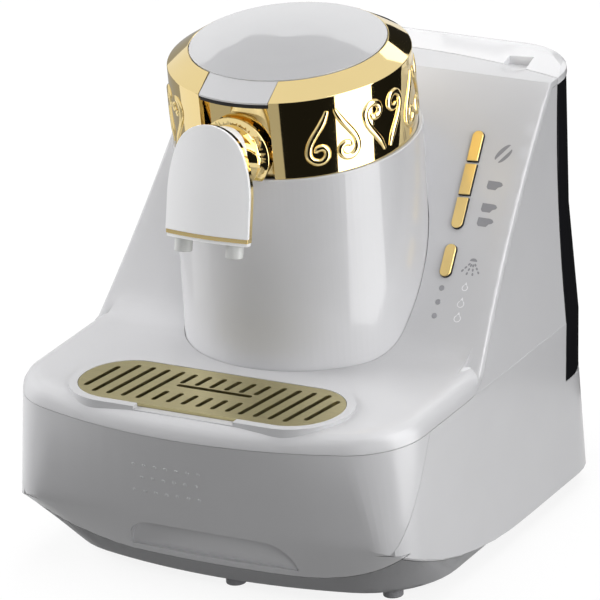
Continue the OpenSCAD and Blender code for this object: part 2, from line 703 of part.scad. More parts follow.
// Outline of the shield: straight flanks, leaning arcs and a round top
shield_side = shield_side_r - shield_half;
shield_cap_z = shield_h - shield_top_r;
shield_turn = atan2(shield_cap_z - shield_spring, shield_side);
function shield_right(d) = concat([[shield_half - d, 0]],
    arc_points(-shield_side, shield_spring, shield_side_r - d, 0, shield_turn, 10),
    arc_points(0, shield_cap_z, shield_top_r - d, shield_turn + 8, 90, 7));
module shield_outline(d) polygon(concat(shield_right(d), mirrored(shield_right(d))));
module shield_slab(d, low) translate([0, 60, 0]) rotate([90, 0, 0]) linear_extrude(90) union() {
    shield_outline(d);
    if (low > 0) translate([d - shield_half, -low]) square([2 * (shield_half - d), low + 0.01]);
}
module bow(r) translate([0, shield_bow, -20]) cylinder(r = r, h = 120, $fn = 180);
module spout_shield() place() color("#e6e6e8") spout_frame() intersection() {
    shield_slab(0, 0);
    difference() { bow(shield_bow); bow(shield_bow - shield_t); }
    translate([-50, -10, -20]) cube([100, 40, 100]);
}
trim_drop = 2.2;
trim_t = 3;
module spout_trim() place() color("#c9a227") spout_frame() intersection() {
    shield_slab(0.2, trim_drop);
    union() {
        difference() { bow(shield_bow - shield_t); bow(shield_bow - shield_t - trim_t); }
        intersection() {
            difference() { bow(shield_bow - 0.4); bow(shield_bow - shield_t - trim_t); }
            translate([-50, -10, -trim_drop]) cube([100, 40, trim_drop]);
        }
    }
    translate([-50, -10, -20]) cube([100, 40, 100]);
}
// The body behind shield and trim, round in plan
back_r = 23.2;
back_y = -4;
base_drop = 1.6;
nozzle_y = 7;
module back_round(r, low, h) translate([0, back_y, low]) cylinder(r = r, h = h);
module spout_back() place() color("#dcdcde") spout_frame() difference() {
    union() {
        intersection() {
            shield_slab(3, trim_drop);
            bow(shield_bow - shield_t - trim_t);
            back_round(back_r, -trim_drop, 100);
        }
        // the floor that closes trim and back, with the bowed front
        intersection() {
            shield_slab(0.6, trim_drop + base_drop);
            bow(shield_bow - 0.8);
            back_round(back_r + 3, -trim_drop - base_drop, base_drop);
        }
    }
    for (s = [-1, 1]) translate([s * nozzle_half, nozzle_y, -20]) cylinder(r = nozzle_r - 1.2, h = 44);
    translate([-nozzle_half, nozzle_y, 21]) rotate([0, 90, 0]) cylinder(r = 2.8, h = 2 * nozzle_half);
    translate([0, nozzle_y, 21]) cylinder(r = 3.2, h = arm_local_z - 21);
    translate([0, 4, arm_local_z]) rotate([-90, 0, 0]) cylinder(r = arm_bore_r - 0.8, h = 40);
}
arm_local_z = arm_z + 7.5 - shield_z;
nozzle_h = 7;
module spout_nozzles() place() color("#c8c8ca") spout_frame()
    for (s = [-1, 1]) translate([s * nozzle_half, nozzle_y, -trim_drop - base_drop - nozzle_h]) difference() {
        cylinder(r = nozzle_r, h = nozzle_h);
        translate([0, 0, -1]) cylinder(r = nozzle_r - 1.2, h = nozzle_h + 2);
    }
module spout_arm() place() color("#c9a227") difference() {
    union() {
        difference() {
            translate([0, -flange_y, arm_z]) rotate([90 - arm_rise, 0, 0]) translate([0, 0, -12])
                cylinder(r1 = flange_r - 0.5, r2 = arm_tip_r - 4, h = 50);
            translate([-far, -flange_y, 0]) cube(2 * far);
            spout_frame() back_round(back_r + running, -far / 2, far);
            spout_frame() translate([-far, back_y - 2 * far, -far]) cube(2 * far);
        }
        translate([0, -flange_y, arm_z]) rotate([90, 0, 0]) cylinder(r = flange_r, h = 2.4);
        arm_axis() translate([0, 0, -6]) cylinder(r = arm_boss_r, h = 7);
        arm_axis() translate([0, 0, pot_r - sleeve_r - 2]) cylinder(r = arm_tube_r, h = sleeve_r - pot_r + 3);
    }
    arm_axis() translate([0, 0, -30]) cylinder(r = arm_bore_r, h = 36);
    translate([0, -flange_y, arm_z]) rotate([90 - arm_rise, 0, 0]) translate([0, 0, 3])
        cylinder(r = arm_bore_r - 0.8, h = 60);
    // flat under the flange, clear of the column's top edge
    translate([-far, -far, head_top - ring_h - ring_r * sin(head_tilt) + 0.6 - far])
        cube([2 * far, far, far]);
}

// ---- water tank ----
tank_levels = [tank_z, seam_z, 150, tank_top];
// Outline of tank and lid seen from above: flanks at the given half width and round rear corners
function tank_right(half, depth, d) = concat([[half - d, d - 25]],
    arc_points(half - rear_corner_r, depth - rear_corner_r, rear_corner_r - d, 0, 90, 10));
function tank_points(half, depth, d) =
    let (side = tank_right(half, depth, d)) concat(side, mirrored(side));
module tank_slice(z, d) translate([0, tank_y(z), 0]) flat_at(z, tank_points(half_at(z), tank_depth, d));
module tank_form(d, low) {
    for (i = [0:2]) hull() {
        tank_slice(max(tank_levels[i], tank_levels[0] + low), d);
        tank_slice(tank_levels[i + 1], d);
    }
}
ear_x = 18;
ear_w = 4;
module tank_ear(x) {
    translate([x - ear_w / 2, hinge_y, hinge_z]) rotate([0, 90, 0]) cylinder(r = ear_r, h = ear_w);
    translate([x - ear_w / 2, hinge_y - 5, hinge_z - 12]) cube([ear_w, 6.5, 12]);
}
module hinge_hole(r) translate([-far, hinge_y, hinge_z]) rotate([0, 90, 0]) cylinder(r = r, h = 2 * far);
module water_tank() place() color("#3a3a3e") difference() {
    union() {
        difference() {
            tank_form(0, 0);
            before_tank(0);
        }
        for (s = [-1, 1]) tank_ear(s * ear_x);
    }
    difference() {
        tank_form(tank_wall, tank_wall);
        before_tank(-tank_wall);
    }
    difference() {
        translate([0, tank_y(tank_top), tank_top - 1]) linear_extrude(4)
            polygon(tank_points(half_at(tank_top), tank_depth, tank_wall));
        before_tank(-tank_wall);
    }
    translate([valve_x, valve_y, tank_z - 5]) cylinder(r = valve_r + running, h = 20);
    hinge_hole(pin_r);
}
valve_r = 6;
valve_x = 58;
valve_y = tank_y(tank_z) + 6;
socket_z = tank_z - 12;
module tank_valve() place() color("#e0e0e0") translate([valve_x, valve_y, 0]) {
    translate([0, 0, tank_z - 2.5]) cylinder(r = valve_r - 2, h = 5);
    translate([0, 0, tank_z]) cylinder(r = valve_r, h = tank_wall);
    translate([0, 0, tank_z + tank_wall]) cylinder(r = valve_r + 1, h = 2);
}
module tank_hinge_pin() place() color("#b8b8ba")
    translate([-ear_x - ear_w / 2, hinge_y, hinge_z]) rotate([0, 90, 0])
        cylinder(r = pin_r, h = 2 * ear_x + ear_w);
lid_over = 0.8;
knuckle_x = ear_x - ear_w / 2 - gap;
lid_seam_z = tower_top + 0.2;
lid_rise = 18;
lid_notch_x = 67;
lid_notch_w = 14.5;
lid_notch_y = tank_front;
module lid_slice(rise, d) translate([0, tank_y(lid_base), 0])
    flat_at(lid_base + rise, tank_points(half_at(lid_base), tank_depth + lid_over, d));
module tank_lid() place() color("#e2e2e4") difference() {
    union() {
        difference() {
            hull() {
                lid_slice(0, 0);
                lid_slice(tank_lid_h - 4.5, 0);
                lid_slice(tank_lid_h - 2, 2);
                lid_slice(tank_lid_h - 0.6, 6);
                lid_slice(tank_lid_h, 11);
            }
            before_tank(0);
            // the top rises gently from the seam
            translate([0, tank_y(lid_seam_z) - tank_bow, lid_seam_z - 6])
                cylinder(r1 = tank_bow - 6 / tan(lid_rise), r2 = tank_bow + 40, h = 6 + 40 * tan(lid_rise), $fn = 360);
        }
        translate([-knuckle_x, hinge_y, hinge_z]) rotate([0, 90, 0]) cylinder(r = ear_r, h = 2 * knuckle_x);
        translate([-knuckle_x, hinge_y - 5, hinge_z]) cube([2 * knuckle_x, 5, ear_r]);
    }
    for (s = [-1, 1]) translate([s * ear_x - ear_w / 2 - gap, hinge_y - 6, lid_base - 1])
        cube([ear_w + 2 * gap, 20, ear_r + 4]);
    hinge_hole(pin_r + running);
    // finger notch at the front seam
    translate([lid_notch_x, 0, lid_base + 1.2]) cube([lid_notch_w, lid_notch_y, 20]);
}
// Leaning wall and seat that hold the tank
bay_t = 3;
bay_floor = tank_z - gap - bay_t;
module tank_bay() place() color("#5c5c60") difference() {
    intersection() {
        union() {
            difference() {
                translate([-far, -60, bay_floor]) cube([2 * far, far, tower_top - wall - gap - bay_floor]);
                difference() { translate([-far, -far, 0]) cube(2 * far); before_tank(0.5); }
                before_tank(bay_t);
            }
            translate([-far, 0, bay_floor]) cube([2 * far, far, bay_t]);
        }
        union() {
            intersection() {
                base_form(wall + 0.1);
                translate([-far, 40, 0]) cube([2 * far, far, seam_z - slice]);
            }
            along_y(-60, far) front_section(wall + 0.1);
        }
    }
    translate([-far, -far, 0]) cube([2 * far, far + tank_base - 28, tank_z]);
    translate([valve_x, valve_y, tank_z - 20]) cylinder(r = valve_r - 1.5, h = 30);
}
module tank_valve_socket() place() color("#1c1c1e") translate([valve_x, valve_y, socket_z]) difference() {
    cylinder(r = valve_r + 2, h = bay_floor - socket_z);
    translate([0, 0, 3]) cylinder(r = valve_r - 1.5, h = 12);
    translate([0, 0, -1]) cylinder(r = 2, h = 12);
}
pump_y = 30;
pump_r = 12;
pump_len = 40;
pump_lift = pump_r + 4;
pump_axis_z = floor_z + wall + pump_lift;
module pump() place() color("#4a4a4e") translate([valve_x, pump_y, floor_z + wall]) {
    translate([-7, 0, 0]) cube([14, pump_len + 4, 4]);
    translate([0, 2, pump_lift]) rotate([-90, 0, 0]) cylinder(r = pump_r, h = pump_len);
    translate([-6, 8, 3]) cube([12, pump_len - 12, 4]);
}
module pump_hose() place() color("#d8d8da") difference() {
    union() {
        translate([valve_x, valve_y, pump_axis_z - 3]) cylinder(r = 3, h = socket_z - pump_axis_z + 3);
        translate([valve_x, pump_y + pump_len + 2, pump_axis_z]) rotate([-90, 0, 0])
            cylinder(r = 2.7, h = valve_y - pump_y - pump_len - 2);
    }
    translate([valve_x, valve_y, pump_axis_z - 1]) cylinder(r = 1.8, h = far);
}
module heater_hose() place() color("#d8d8da") translate([valve_x, pump_y + 10, pump_axis_z + pump_r])
    cylinder(r = 3, h = deck_z - deck_t - pump_axis_z - pump_r);

// ---- drawer ----
tray_front = 113;
grip_low = drawer_z + 4;
grip_round = 16;
grip_rise = grip_top - grip_low;
grip_r = (grip_round * grip_round + grip_rise * grip_rise) / (2 * grip_rise);
function grip_right(d) = concat([[grip_half + d, grip_low - d]],
    arc_points(grip_half - grip_round, grip_top - grip_r, grip_r + d,
        asin((grip_r - grip_rise) / grip_r), 90, 8));
module grip_outline(d) polygon(concat(grip_right(d), mirrored(grip_right(d))));
grip_back = crease_front - 12;
rib_x = 50;
module drawer_front() place() color("#c4c4c6") difference() {
    intersection() {
        union() {
            difference() { base_form(0); base_form(wall); }
            // liner of the handle recess, and two ribs that carry the tray
            intersection() {
                base_form(0.2);
                union() {
                    along_y(-far, 2 - grip_back) grip_outline(2);
                    for (s = [-1, 1]) translate([s * rib_x - 1.5, -far, tray_z + 2])
                        cube([3, far - tray_front, 30]);
                }
            }
        }
        drawer_zone(0);
    }
    along_y(-far, -grip_back) grip_outline(0);
}
tray_wall = 2;
tray_len = 107;
module drip_tray() place() color("#3c3c40") difference() {
    union() {
        translate([-tray_half, -tray_front, tray_z]) cube([2 * tray_half, tray_len, tray_h]);
        translate([-tray_half - 2.2, 30 - tray_front, runner_z])
            cube([2 * tray_half + 4.4, tray_len - 30, 2]);
    }
    translate([tray_wall - tray_half, tray_wall - tray_front, tray_z + tray_wall])
        cube([2 * (tray_half - tray_wall), tray_len - 2 * tray_wall, tray_h]);
}

// ---- drip grille ----
module slot(len) translate([0, 0, -1]) linear_extrude(grille_t + 2) {
    translate([-slot_w / 2, -len / 2 + slot_w / 2]) square([slot_w, len - slot_w]);
    for (s = [-1, 1]) translate([0, s * (len - slot_w) / 2]) circle(r = slot_w / 2);
}
function slot_len(x) =
    min(39, 2 * sqrt(max(1, pow(grille_r - 5, 2) - pow(max(0, x - grille_half + grille_r), 2))));
centre_slot = 44;
module drip_grille() place() color("#d4d4d6") translate([0, 0, grille_z]) difference() {
    stadium(grille_half - gap, grille_r - gap, grille_t);
    translate([0, -grille_front, 0]) {
        for (k = [0:4], s = [-1, 1]) let (x = 29.8 + k * slot_pitch)
            translate([s * x, 0, 0]) rotate([0, 0, -slot_slant]) slot(slot_len(x));
        for (k = [-2.5:1:2.5], s = [-1, 1]) translate([k * slot_pitch + s * 1.6, s * 12, 0])
            rotate([0, 0, -slot_slant]) slot(13);
        translate([0, 3, 0]) rotate([0, 0, 90]) slot(centre_slot);
    }
}

base_pan();
side_panel_left();
side_panel_right();
rear_cover();
chassis();
saddle_cover();
column_shell();
pot_stand();
heater_plate();
heater_coil();
brew_pot();
ring_sleeve();
ring_band();
ring_bevel();
head_hinge_pin();
head_lid();
lid_seal();
lip_gasket();
spout_arm();
spout_shield();
spout_trim();
spout_back();
spout_nozzles();
key_carrier();
control_board();
status_lights();
key_beans();
key_one_cup();
key_two_cups();
key_rinse();
tank_bay();
tank_valve_socket();
pump();
pump_hose();
heater_hose();
water_tank();
tank_valve();
tank_hinge_pin();
tank_lid();
drawer_front();
drip_tray();
drip_grille();
feet();
base_screws();
power_inlet();
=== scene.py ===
"""Electric Turkish coffee maker: finishes, soft mouldings, scroll-worked head ring and studio."""

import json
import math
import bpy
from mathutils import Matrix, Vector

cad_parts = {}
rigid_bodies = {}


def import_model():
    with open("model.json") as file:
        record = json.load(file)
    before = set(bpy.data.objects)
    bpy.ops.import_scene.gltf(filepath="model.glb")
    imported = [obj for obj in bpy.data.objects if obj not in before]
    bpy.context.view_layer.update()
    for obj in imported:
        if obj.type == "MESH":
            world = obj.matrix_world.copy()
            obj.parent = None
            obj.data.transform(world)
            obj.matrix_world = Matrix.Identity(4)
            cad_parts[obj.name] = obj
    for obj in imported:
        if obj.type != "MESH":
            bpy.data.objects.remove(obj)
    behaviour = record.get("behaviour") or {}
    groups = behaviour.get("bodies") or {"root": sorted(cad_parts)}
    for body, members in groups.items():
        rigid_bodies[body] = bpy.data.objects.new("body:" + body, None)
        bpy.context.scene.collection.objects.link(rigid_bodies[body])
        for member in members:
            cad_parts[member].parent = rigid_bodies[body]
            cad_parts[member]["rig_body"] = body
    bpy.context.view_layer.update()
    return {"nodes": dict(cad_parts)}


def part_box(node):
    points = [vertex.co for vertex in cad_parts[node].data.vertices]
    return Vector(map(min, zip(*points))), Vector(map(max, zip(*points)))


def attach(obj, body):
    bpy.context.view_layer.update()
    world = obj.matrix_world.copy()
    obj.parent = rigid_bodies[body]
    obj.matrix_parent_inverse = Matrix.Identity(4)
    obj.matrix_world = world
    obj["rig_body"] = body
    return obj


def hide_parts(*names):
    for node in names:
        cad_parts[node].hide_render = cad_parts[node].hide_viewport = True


bl_info = {
    "name": "Turkish Coffee Maker",
    "version": (1, 0, 0),
    "blender": (4, 5, 0),
    "location": "View3D > Sidebar > Coffee Maker",
    "description": "Dresses a coffee maker's solids with their finishes and sets them in a studio",
    "category": "Object",
}

import bmesh
import bpy
from bpy.props import FloatProperty, FloatVectorProperty, PointerProperty
from mathutils import Matrix, Vector
from mathutils.bvhtree import BVHTree
from mathutils.kdtree import KDTree

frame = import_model()

MM = 0.001

# Where the tilted head and the sloping key face stand, and how large the head's ring and lid are
SHIFT_Y = -0.8 * MM
HEAD_TOP = 255 * MM
HEAD_TILT = math.radians(3.4)
RING_R = 63 * MM
RING_H = 42.3 * MM
BEVEL_H = 7.4 * MM
LID_R = 51.1 * MM
SLOPE = math.radians(46.9)
SLOPE_FOOT = 19.8 * MM
PLATFORM_Z = 104.6 * MM

HEAD = Matrix.Translation((0, SHIFT_Y, HEAD_TOP)) @ Matrix.Rotation(HEAD_TILT, 4, "X")
KEY_FACE = (Matrix.Translation((0, SHIFT_Y - SLOPE_FOOT, PLATFORM_Z))
            @ Matrix.Rotation(SLOPE, 4, "X"))


def linear(hex_colour):
    """An sRGB hex colour as linear RGB."""
    channels = [int(hex_colour[i:i + 2], 16) / 255 for i in (1, 3, 5)]
    return tuple(c / 12.92 if c <= 0.04045 else ((c + 0.055) / 1.055) ** 2.4 for c in channels)


def rgba(colour):
    return (*colour, 1.0)


# ---- settings ----

def colour(name, description, hex_colour):
    return FloatVectorProperty(name=name, description=description, subtype="COLOR",
                               default=linear(hex_colour), min=0, max=1)


def length(name, description, default_mm, least_mm, most_mm):
    return FloatProperty(name=name, description=description, unit="LENGTH",
                         default=default_mm * MM, min=least_mm * MM, max=most_mm * MM)


class CoffeeMakerColours(bpy.types.PropertyGroup):
    """Colours of the finishes"""
    pearl: colour("Pearl", "Silver-white paint of housing and drawer", "#C6C6C8")
    # The shield's white is pushed brighter as painted light
    shield: colour("Shield", "Gloss moulding of the spout's shield", "#FAFAFB")
    # The tank's lid is the gloss white darkened a little: painted shade
    tank_lid: colour("Tank lid", "Gloss moulding of the tank's lid", "#DBDBDD")
    # The head lid's grey is the gloss white darkened: painted shade
    head_lid: colour("Head lid", "Gloss white moulding of the head's lid, darkened as painted shade", "#BDBDBF")
    gold: colour("Gold", "Plating of ring, spout arm and trim", "#E8D196")
    key_gold: colour("Key gold", "Satin plating of the keys", "#E7CB88")
    brass: colour("Brass", "Drip grille", "#CFC494")
    smoke: colour("Smoke", "Smoked water tank", "#17171A")
    black: colour("Black", "Grained black mouldings", "#1D1D1F")
    # The pan's colour is the pearl lacquer darkened: painted shade
    pan: colour("Pan", "Pearl lacquer of the base pan, darkened as painted shade", "#A8A8AA")
    # The tray's sand-gold is painted reflection and shade seen through the grille's slots
    tray: colour("Tray", "Sand-gold drip tray, a painted reflection in the grille's slots", "#8C7C52")


class CoffeeMakerSizes(bpy.types.PropertyGroup):
    """Sizes of the fine work"""
    edge_round: length("Edge round", "Radius of a moulded edge", 0.5, 0.05, 2)
    flank_round: length(
        "Flank round", "Radius where the key face turns down into the flank", 2.1, 0.5, 2.2)
    scroll_width: length("Scroll width", "Width of a raised scroll at its middle", 3.9, 1, 5)
    scroll_relief: length(
        "Scroll relief", "Height of a raised scroll above the ring", 1.3, 0.2, 1.5)
    dot_pitch: length("Dot pitch", "Distance between the dots on the drawer", 6.4, 3, 10)
    dot_radius: length("Dot radius", "Radius of a dot on the drawer", 1.1, 0.3, 2)
    dot_height: length("Dot height", "How far a dot stands out of the drawer", 0.35, 0.1, 1)


def colours():
    return bpy.context.scene.coffee_maker_colours


def sizes():
    return bpy.context.scene.coffee_maker_sizes


# ---- materials ----

def add(tree, kind, sockets=None, **settings):
    """Adds a node; sockets maps an input to a value or to another node's output."""
    node = tree.nodes.new(kind)
    for name, value in settings.items():
        setattr(node, name, value)
    for name, value in (sockets or {}).items():
        if isinstance(value, bpy.types.NodeSocket):
            tree.links.new(value, node.inputs[name])
        else:
            node.inputs[name].default_value = value
    return node


def new_material(name):
    material = bpy.data.materials.new(name)
    material.use_nodes = True
    material.node_tree.nodes.clear()
    return material, material.node_tree


# Noise mostly lies between these two values
RAMP_ENDS = (0.35, 0.65)


def ramp(tree, factor, *tints):
    """A blend from one colour to another, driven by noise."""
    node = add(tree, "ShaderNodeValToRGB", {"Fac": factor})
    for element, position, tint in zip(node.color_ramp.elements, RAMP_ENDS, tints):
        element.position = position
        element.color = rgba(tint)
    return node.outputs["Color"]


def scaled(tint, factor):
    return tuple(min(1.0, c * factor) for c in tint)


# How large the colour's drift is, and how far it goes on metal and along brushed lines
DRIFT_SIZE = 40 * MM
METAL_DRIFT = 0.02
BRUSH_DARK, BRUSH_LIGHT = 0.94, 1.05


def surfaced(tree, base, height, depth_mm, roughness, shader):
    """Ends a finish: its colour, its height as a bump of a real depth, and its shader's values."""
    bump = add(tree, "ShaderNodeBump", {
        "Height": height, "Distance": depth_mm * MM, "Strength": 1.0})
    surface = add(tree, "ShaderNodeBsdfPrincipled", {
        "Base Color": base, "Roughness": roughness, "Normal": bump.outputs["Normal"], **shader})
    add(tree, "ShaderNodeOutputMaterial", {"Surface": surface.outputs["BSDF"]})


def moulded(name, tint, roughness, grain_mm, depth_mm, variation, shader):
    """A moulded or painted surface: a faint colour drift and a fine grain of a real size."""
    material, tree = new_material(name)
    place = add(tree, "ShaderNodeTexCoord").outputs["Object"]
    drift = add(tree, "ShaderNodeTexNoise", {
        "Vector": place, "Scale": 1 / DRIFT_SIZE, "Detail": 2.0})
    grain = add(tree, "ShaderNodeTexNoise", {
        "Vector": place, "Scale": 1 / (grain_mm * MM), "Detail": 3.0})
    base = ramp(tree, drift.outputs["Fac"],
                scaled(tint, 1 - variation), scaled(tint, 1 + variation))
    surfaced(tree, base, grain.outputs["Fac"], depth_mm, roughness, shader)
    return material


def metal(name, tint, roughness, wave_mm, depth_mm):
    """A plated or cast metal: a long, shallow waviness that bends its reflections."""
    return moulded(name, tint, roughness, wave_mm, depth_mm, METAL_DRIFT, {"Metallic": 1.0})


def brushed(name, tint, roughness, line_mm, depth_mm, stretch):
    """Brushed sheet: fine lines along one way, in colour drift and height."""
    material, tree = new_material(name)
    place = add(tree, "ShaderNodeTexCoord").outputs["Object"]
    along = add(tree, "ShaderNodeMapping", {"Vector": place, "Scale": stretch})
    lines = add(tree, "ShaderNodeTexNoise", {
        "Vector": along.outputs["Vector"], "Scale": 1 / (line_mm * MM * max(stretch)),
        "Detail": 4.0})
    base = ramp(tree, lines.outputs["Fac"], scaled(tint, BRUSH_DARK), scaled(tint, BRUSH_LIGHT))
    surfaced(tree, base, lines.outputs["Fac"], depth_mm, roughness, {"Metallic": 1.0})
    return material


# Shader values that several finishes share
LACQUER = {"IOR": 1.5, "Coat Weight": 0.35, "Coat Roughness": 0.16}
POLISHED_LACQUER = {"IOR": 1.5, "Coat Weight": 0.5, "Coat Roughness": 0.03}
DULL_ABS = {"IOR": 1.5, "Specular IOR Level": 0.15}
GLOSS_ABS = {"IOR": 1.53, "Coat Weight": 0.3, "Coat Roughness": 0.05}
MIRROR_ABS = {"IOR": 1.6, "Coat Weight": 1.0, "Coat Roughness": 0.03}
SMOKED_SAN = {"IOR": 1.57, "Coat Weight": 0.4, "Coat Roughness": 0.04}
SILICONE, POLYMER, INK = {"IOR": 1.41}, {"IOR": 1.49}, {"IOR": 1.5}
STIFF_POLYMER, LAMINATE, CLEAR = {"IOR": 1.53}, {"IOR": 1.55}, {"IOR": 1.58}

MATERIALS = {}


def make_materials():
    """One material for each finish, a few with painted light or shade in their colour: colour,
    roughness, grain and its depth, drift, shader.
    """
    tint = colours()
    MATERIALS.update({
        # Silver pearl lacquer over ABS: soft sheen under a clear coat, flake too fine to see singly
        "pearl": moulded("Pearl lacquer on ABS", tint.pearl, 0.38, 0.5, 0.002, 0.012, LACQUER),
        # The same lacquer polished on the column: mirror-like clear coat with crisp edges in it
        "pearl_polished": moulded(
            "Polished pearl lacquer", tint.pearl, 0.38, 0.5, 0.002, 0.012, POLISHED_LACQUER),
        # The pan's pearl lacquer, darkened as painted shade for its shaded underside, and duller
        # than the lacquer
        "pan": moulded("Pearl lacquer of the pan, darkened as painted shade", tint.pan, 0.5, 0.7, 0.01, 0.02, DULL_ABS),
        # High-gloss moulded ABS: crisp highlight, hardly any texture. On the shield its white is
        # pushed brighter than the lids' as painted light
        "gloss": moulded("Polished moulded ABS", tint.shield, 0.22, 2.0, 0.002, 0.01, GLOSS_ABS),
        # The same on the tank's lid, darkened a little as painted shade
        "tank_gloss": moulded(
            "Polished ABS of the tank's lid", tint.tank_lid, 0.22, 2.0, 0.002, 0.01, GLOSS_ABS),
        # The head's lid: the white gloss moulding darkened as painted shade, under a mirror-like
        # skin
        "lid_gloss_with_painted_shade": moulded(
            "Polished white ABS, darkened as painted shade", tint.head_lid, 0.2, 2.0, 0.002, 0.01, MIRROR_ABS),
        # Gold plating on ABS: mirror bright, with a slight orange peel
        "gold": metal("Gold plating", tint.gold, 0.05, 7.0, 0.004),
        # The same plating over the cast relief: softer highlights
        "gold_raised": metal("Gold plating on relief", tint.gold, 0.12, 1.5, 0.006),
        # Satin gold plating on the keys: broad, soft highlight
        "key_gold": metal("Satin gold plating", tint.key_gold, 0.34, 0.6, 0.004),
        # Stamped brass sheet under lacquer, finely brushed along its length
        "brass": brushed("Brushed brass", tint.brass, 0.32, 0.5, 0.006, (1, 30, 30)),
        # Smoked SAN: near black in depth, glassy skin
        "smoke": moulded("Smoked SAN", tint.smoke, 0.1, 3.0, 0.002, 0.02, SMOKED_SAN),
        # Spark-eroded polypropylene: dull black with a fine grain
        "black": moulded("Grained polypropylene", tint.black, 0.5, 0.7, 0.02, 0.06, POLYMER),
        # Drip tray in sand-gold, so that the grille's slots show the gold reflection and shade of
        # their walls: painted reflection and shade
        "tray": moulded("Sand-gold ABS as painted reflection in the slots", tint.tray, 0.4, 0.7, 0.01, 0.04, STIFF_POLYMER),
        # Seals, feet, nozzles and what stands inside the housing
        "rubber": moulded(
            "Moulded silicone rubber", linear("#1A1A1B"), 0.62, 0.8, 0.02, 0.08, SILICONE),
        "feet": moulded(
            "Moulded thermoplastic rubber", linear("#77777A"), 0.6, 0.8, 0.02, 0.06, POLYMER),
        "nozzle": moulded(
            "Food-grade polypropylene", linear("#CDCECC"), 0.35, 1.2, 0.004, 0.03, POLYMER),
        "frame": moulded(
            "Glass-filled nylon", linear("#4C4C4F"), 0.55, 0.6, 0.02, 0.08, STIFF_POLYMER),
        "board": moulded(
            "Solder mask on laminate", linear("#1F5A38"), 0.35, 1.5, 0.01, 0.1, LAMINATE),
        "hose": moulded("Silicone hose", linear("#DAD9D4"), 0.4, 1.0, 0.005, 0.04, SILICONE),
        "lens": moulded("Frosted polycarbonate", linear("#9A9A9E"), 0.3, 1.0, 0.002, 0.02, CLEAR),
        "ink": moulded("Grey pad-printing ink", linear("#8E8E92"), 0.5, 0.5, 0.002, 0.05, INK),
        "pale_ink": moulded(
            "Pale pad-printing ink", linear("#EDEDEF"), 0.45, 0.5, 0.002, 0.03, INK),
        "steel": brushed(
            "Brushed stainless steel", linear("#C9C9CA"), 0.3, 0.3, 0.004, (1, 1, 30)),
        "zinc": metal("Zinc-plated steel", linear("#B9BABD"), 0.32, 0.8, 0.01),
        "cast": metal("Cast aluminium", linear("#B0B1B2"), 0.5, 0.9, 0.03),
    })


NODE_FINISH = {
    "pearl": ["side_panel_left", "side_panel_right", "rear_cover", "saddle_cover", "drawer_front"],
    "pearl_polished": ["column_shell"],
    "pan": ["base_pan"],
    "tray": ["drip_tray"],
    "gloss": ["spout_shield", "spout_back"],
    "tank_gloss": ["tank_lid"],
    "lid_gloss_with_painted_shade": ["head_lid"],
    "gold": ["ring_sleeve", "ring_band", "ring_bevel", "spout_arm", "spout_trim"],
    "smoke": ["water_tank"],
    "black": ["power_inlet"],
    "key_gold": ["key_beans", "key_one_cup", "key_two_cups", "key_rinse"],
    "brass": ["drip_grille"],
    "rubber": ["lid_seal", "lip_gasket", "tank_valve_socket"],
    "feet": ["feet"],
    "nozzle": ["spout_nozzles", "tank_valve"],
    "frame": ["chassis", "pot_stand", "key_carrier", "tank_bay", "pump"],
    "board": ["control_board"],
    "hose": ["pump_hose", "heater_hose"],
    "lens": ["status_lights"],
    "steel": ["brew_pot"],
    "zinc": ["head_hinge_pin", "tank_hinge_pin", "base_screws"],
    "cast": ["heater_plate", "heater_coil"],
}
FINISH_OF = {node: finish for finish, nodes in NODE_FINISH.items() for node in nodes}


# ---- meshes ----

def dress(piece, finish):
    piece.data.materials.clear()
    piece.data.materials.append(MATERIALS[finish])


def body_of(node):
    return frame["nodes"][node]["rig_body"]


def new_piece(name, mesh, body, finish):
    piece = bpy.data.objects.new(name, mesh)
    bpy.context.scene.collection.objects.link(piece)
    dress(piece, finish)
    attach(piece, body)
    return piece


# Points nearer to each other than this become one, in built meshes and in copies of solids
WELD = 0.001 * MM
MERGE_NEAR = 0.002 * MM

EDGE_SEGMENTS = 2


def mesh_from(name, verts, faces, smooth=35):
    """A closed mesh with outward faces, smooth below an angle."""
    mesh = bpy.data.meshes.new(name)
    mesh.from_pydata([tuple(v) for v in verts], [], faces)
    work = bmesh.new()
    work.from_mesh(mesh)
    bmesh.ops.remove_doubles(work, verts=work.verts, dist=WELD)
    bmesh.ops.recalc_face_normals(work, faces=work.faces)
    work.to_mesh(mesh)
    work.free()
    if smooth:
        mesh.shade_smooth()
        mesh.set_sharp_from_angle(angle=math.radians(smooth))
    return mesh


def joined(parts):
    """Vertices and faces of several parts as one list each."""
    verts, faces = [], []
    for part_verts, part_faces in parts:
        start = len(verts)
        verts += part_verts
        faces += [tuple(i + start for i in face) for face in part_faces]
    return verts, faces


def grid(rows):
    """Faces over closed rows of equally many points, with both ends closed."""
    count = len(rows[0])
    verts = [p for row in rows for p in row]
    faces = []
    for k in range(len(rows) - 1):
        for i in range(count):
            j = (i + 1) % count
            faces.append((k * count + i, k * count + j, (k + 1) * count + j, (k + 1) * count + i))
    faces.append(tuple(reversed(range(count))))
    faces.append(tuple(range((len(rows) - 1) * count, len(rows) * count)))
    return verts, faces


def rounded(profile, radii, steps=5):
    """A closed outline whose corners are rounded, each by its own radius."""
    points = []
    count = len(profile)
    for i, corner in enumerate(profile):
        here = Vector(corner)
        if not radii[i]:
            points.append(here)
            continue
        before = (Vector(profile[i - 1]) - here).normalized()
        after = (Vector(profile[(i + 1) % count]) - here).normalized()
        half = before.angle(after) / 2
        reach = radii[i] / math.tan(half)
        start, end = here + before * reach, here + after * reach
        for k in range(steps + 1):
            t = k / steps
            points.append((1 - t) ** 2 * start + 2 * t * (1 - t) * here + t * t * end)
    return points


def head_point(radius, turn, height):
    """A point of the head; the turn runs from the front to the right."""
    return HEAD @ Vector((radius * math.sin(turn), -radius * math.cos(turn), height))


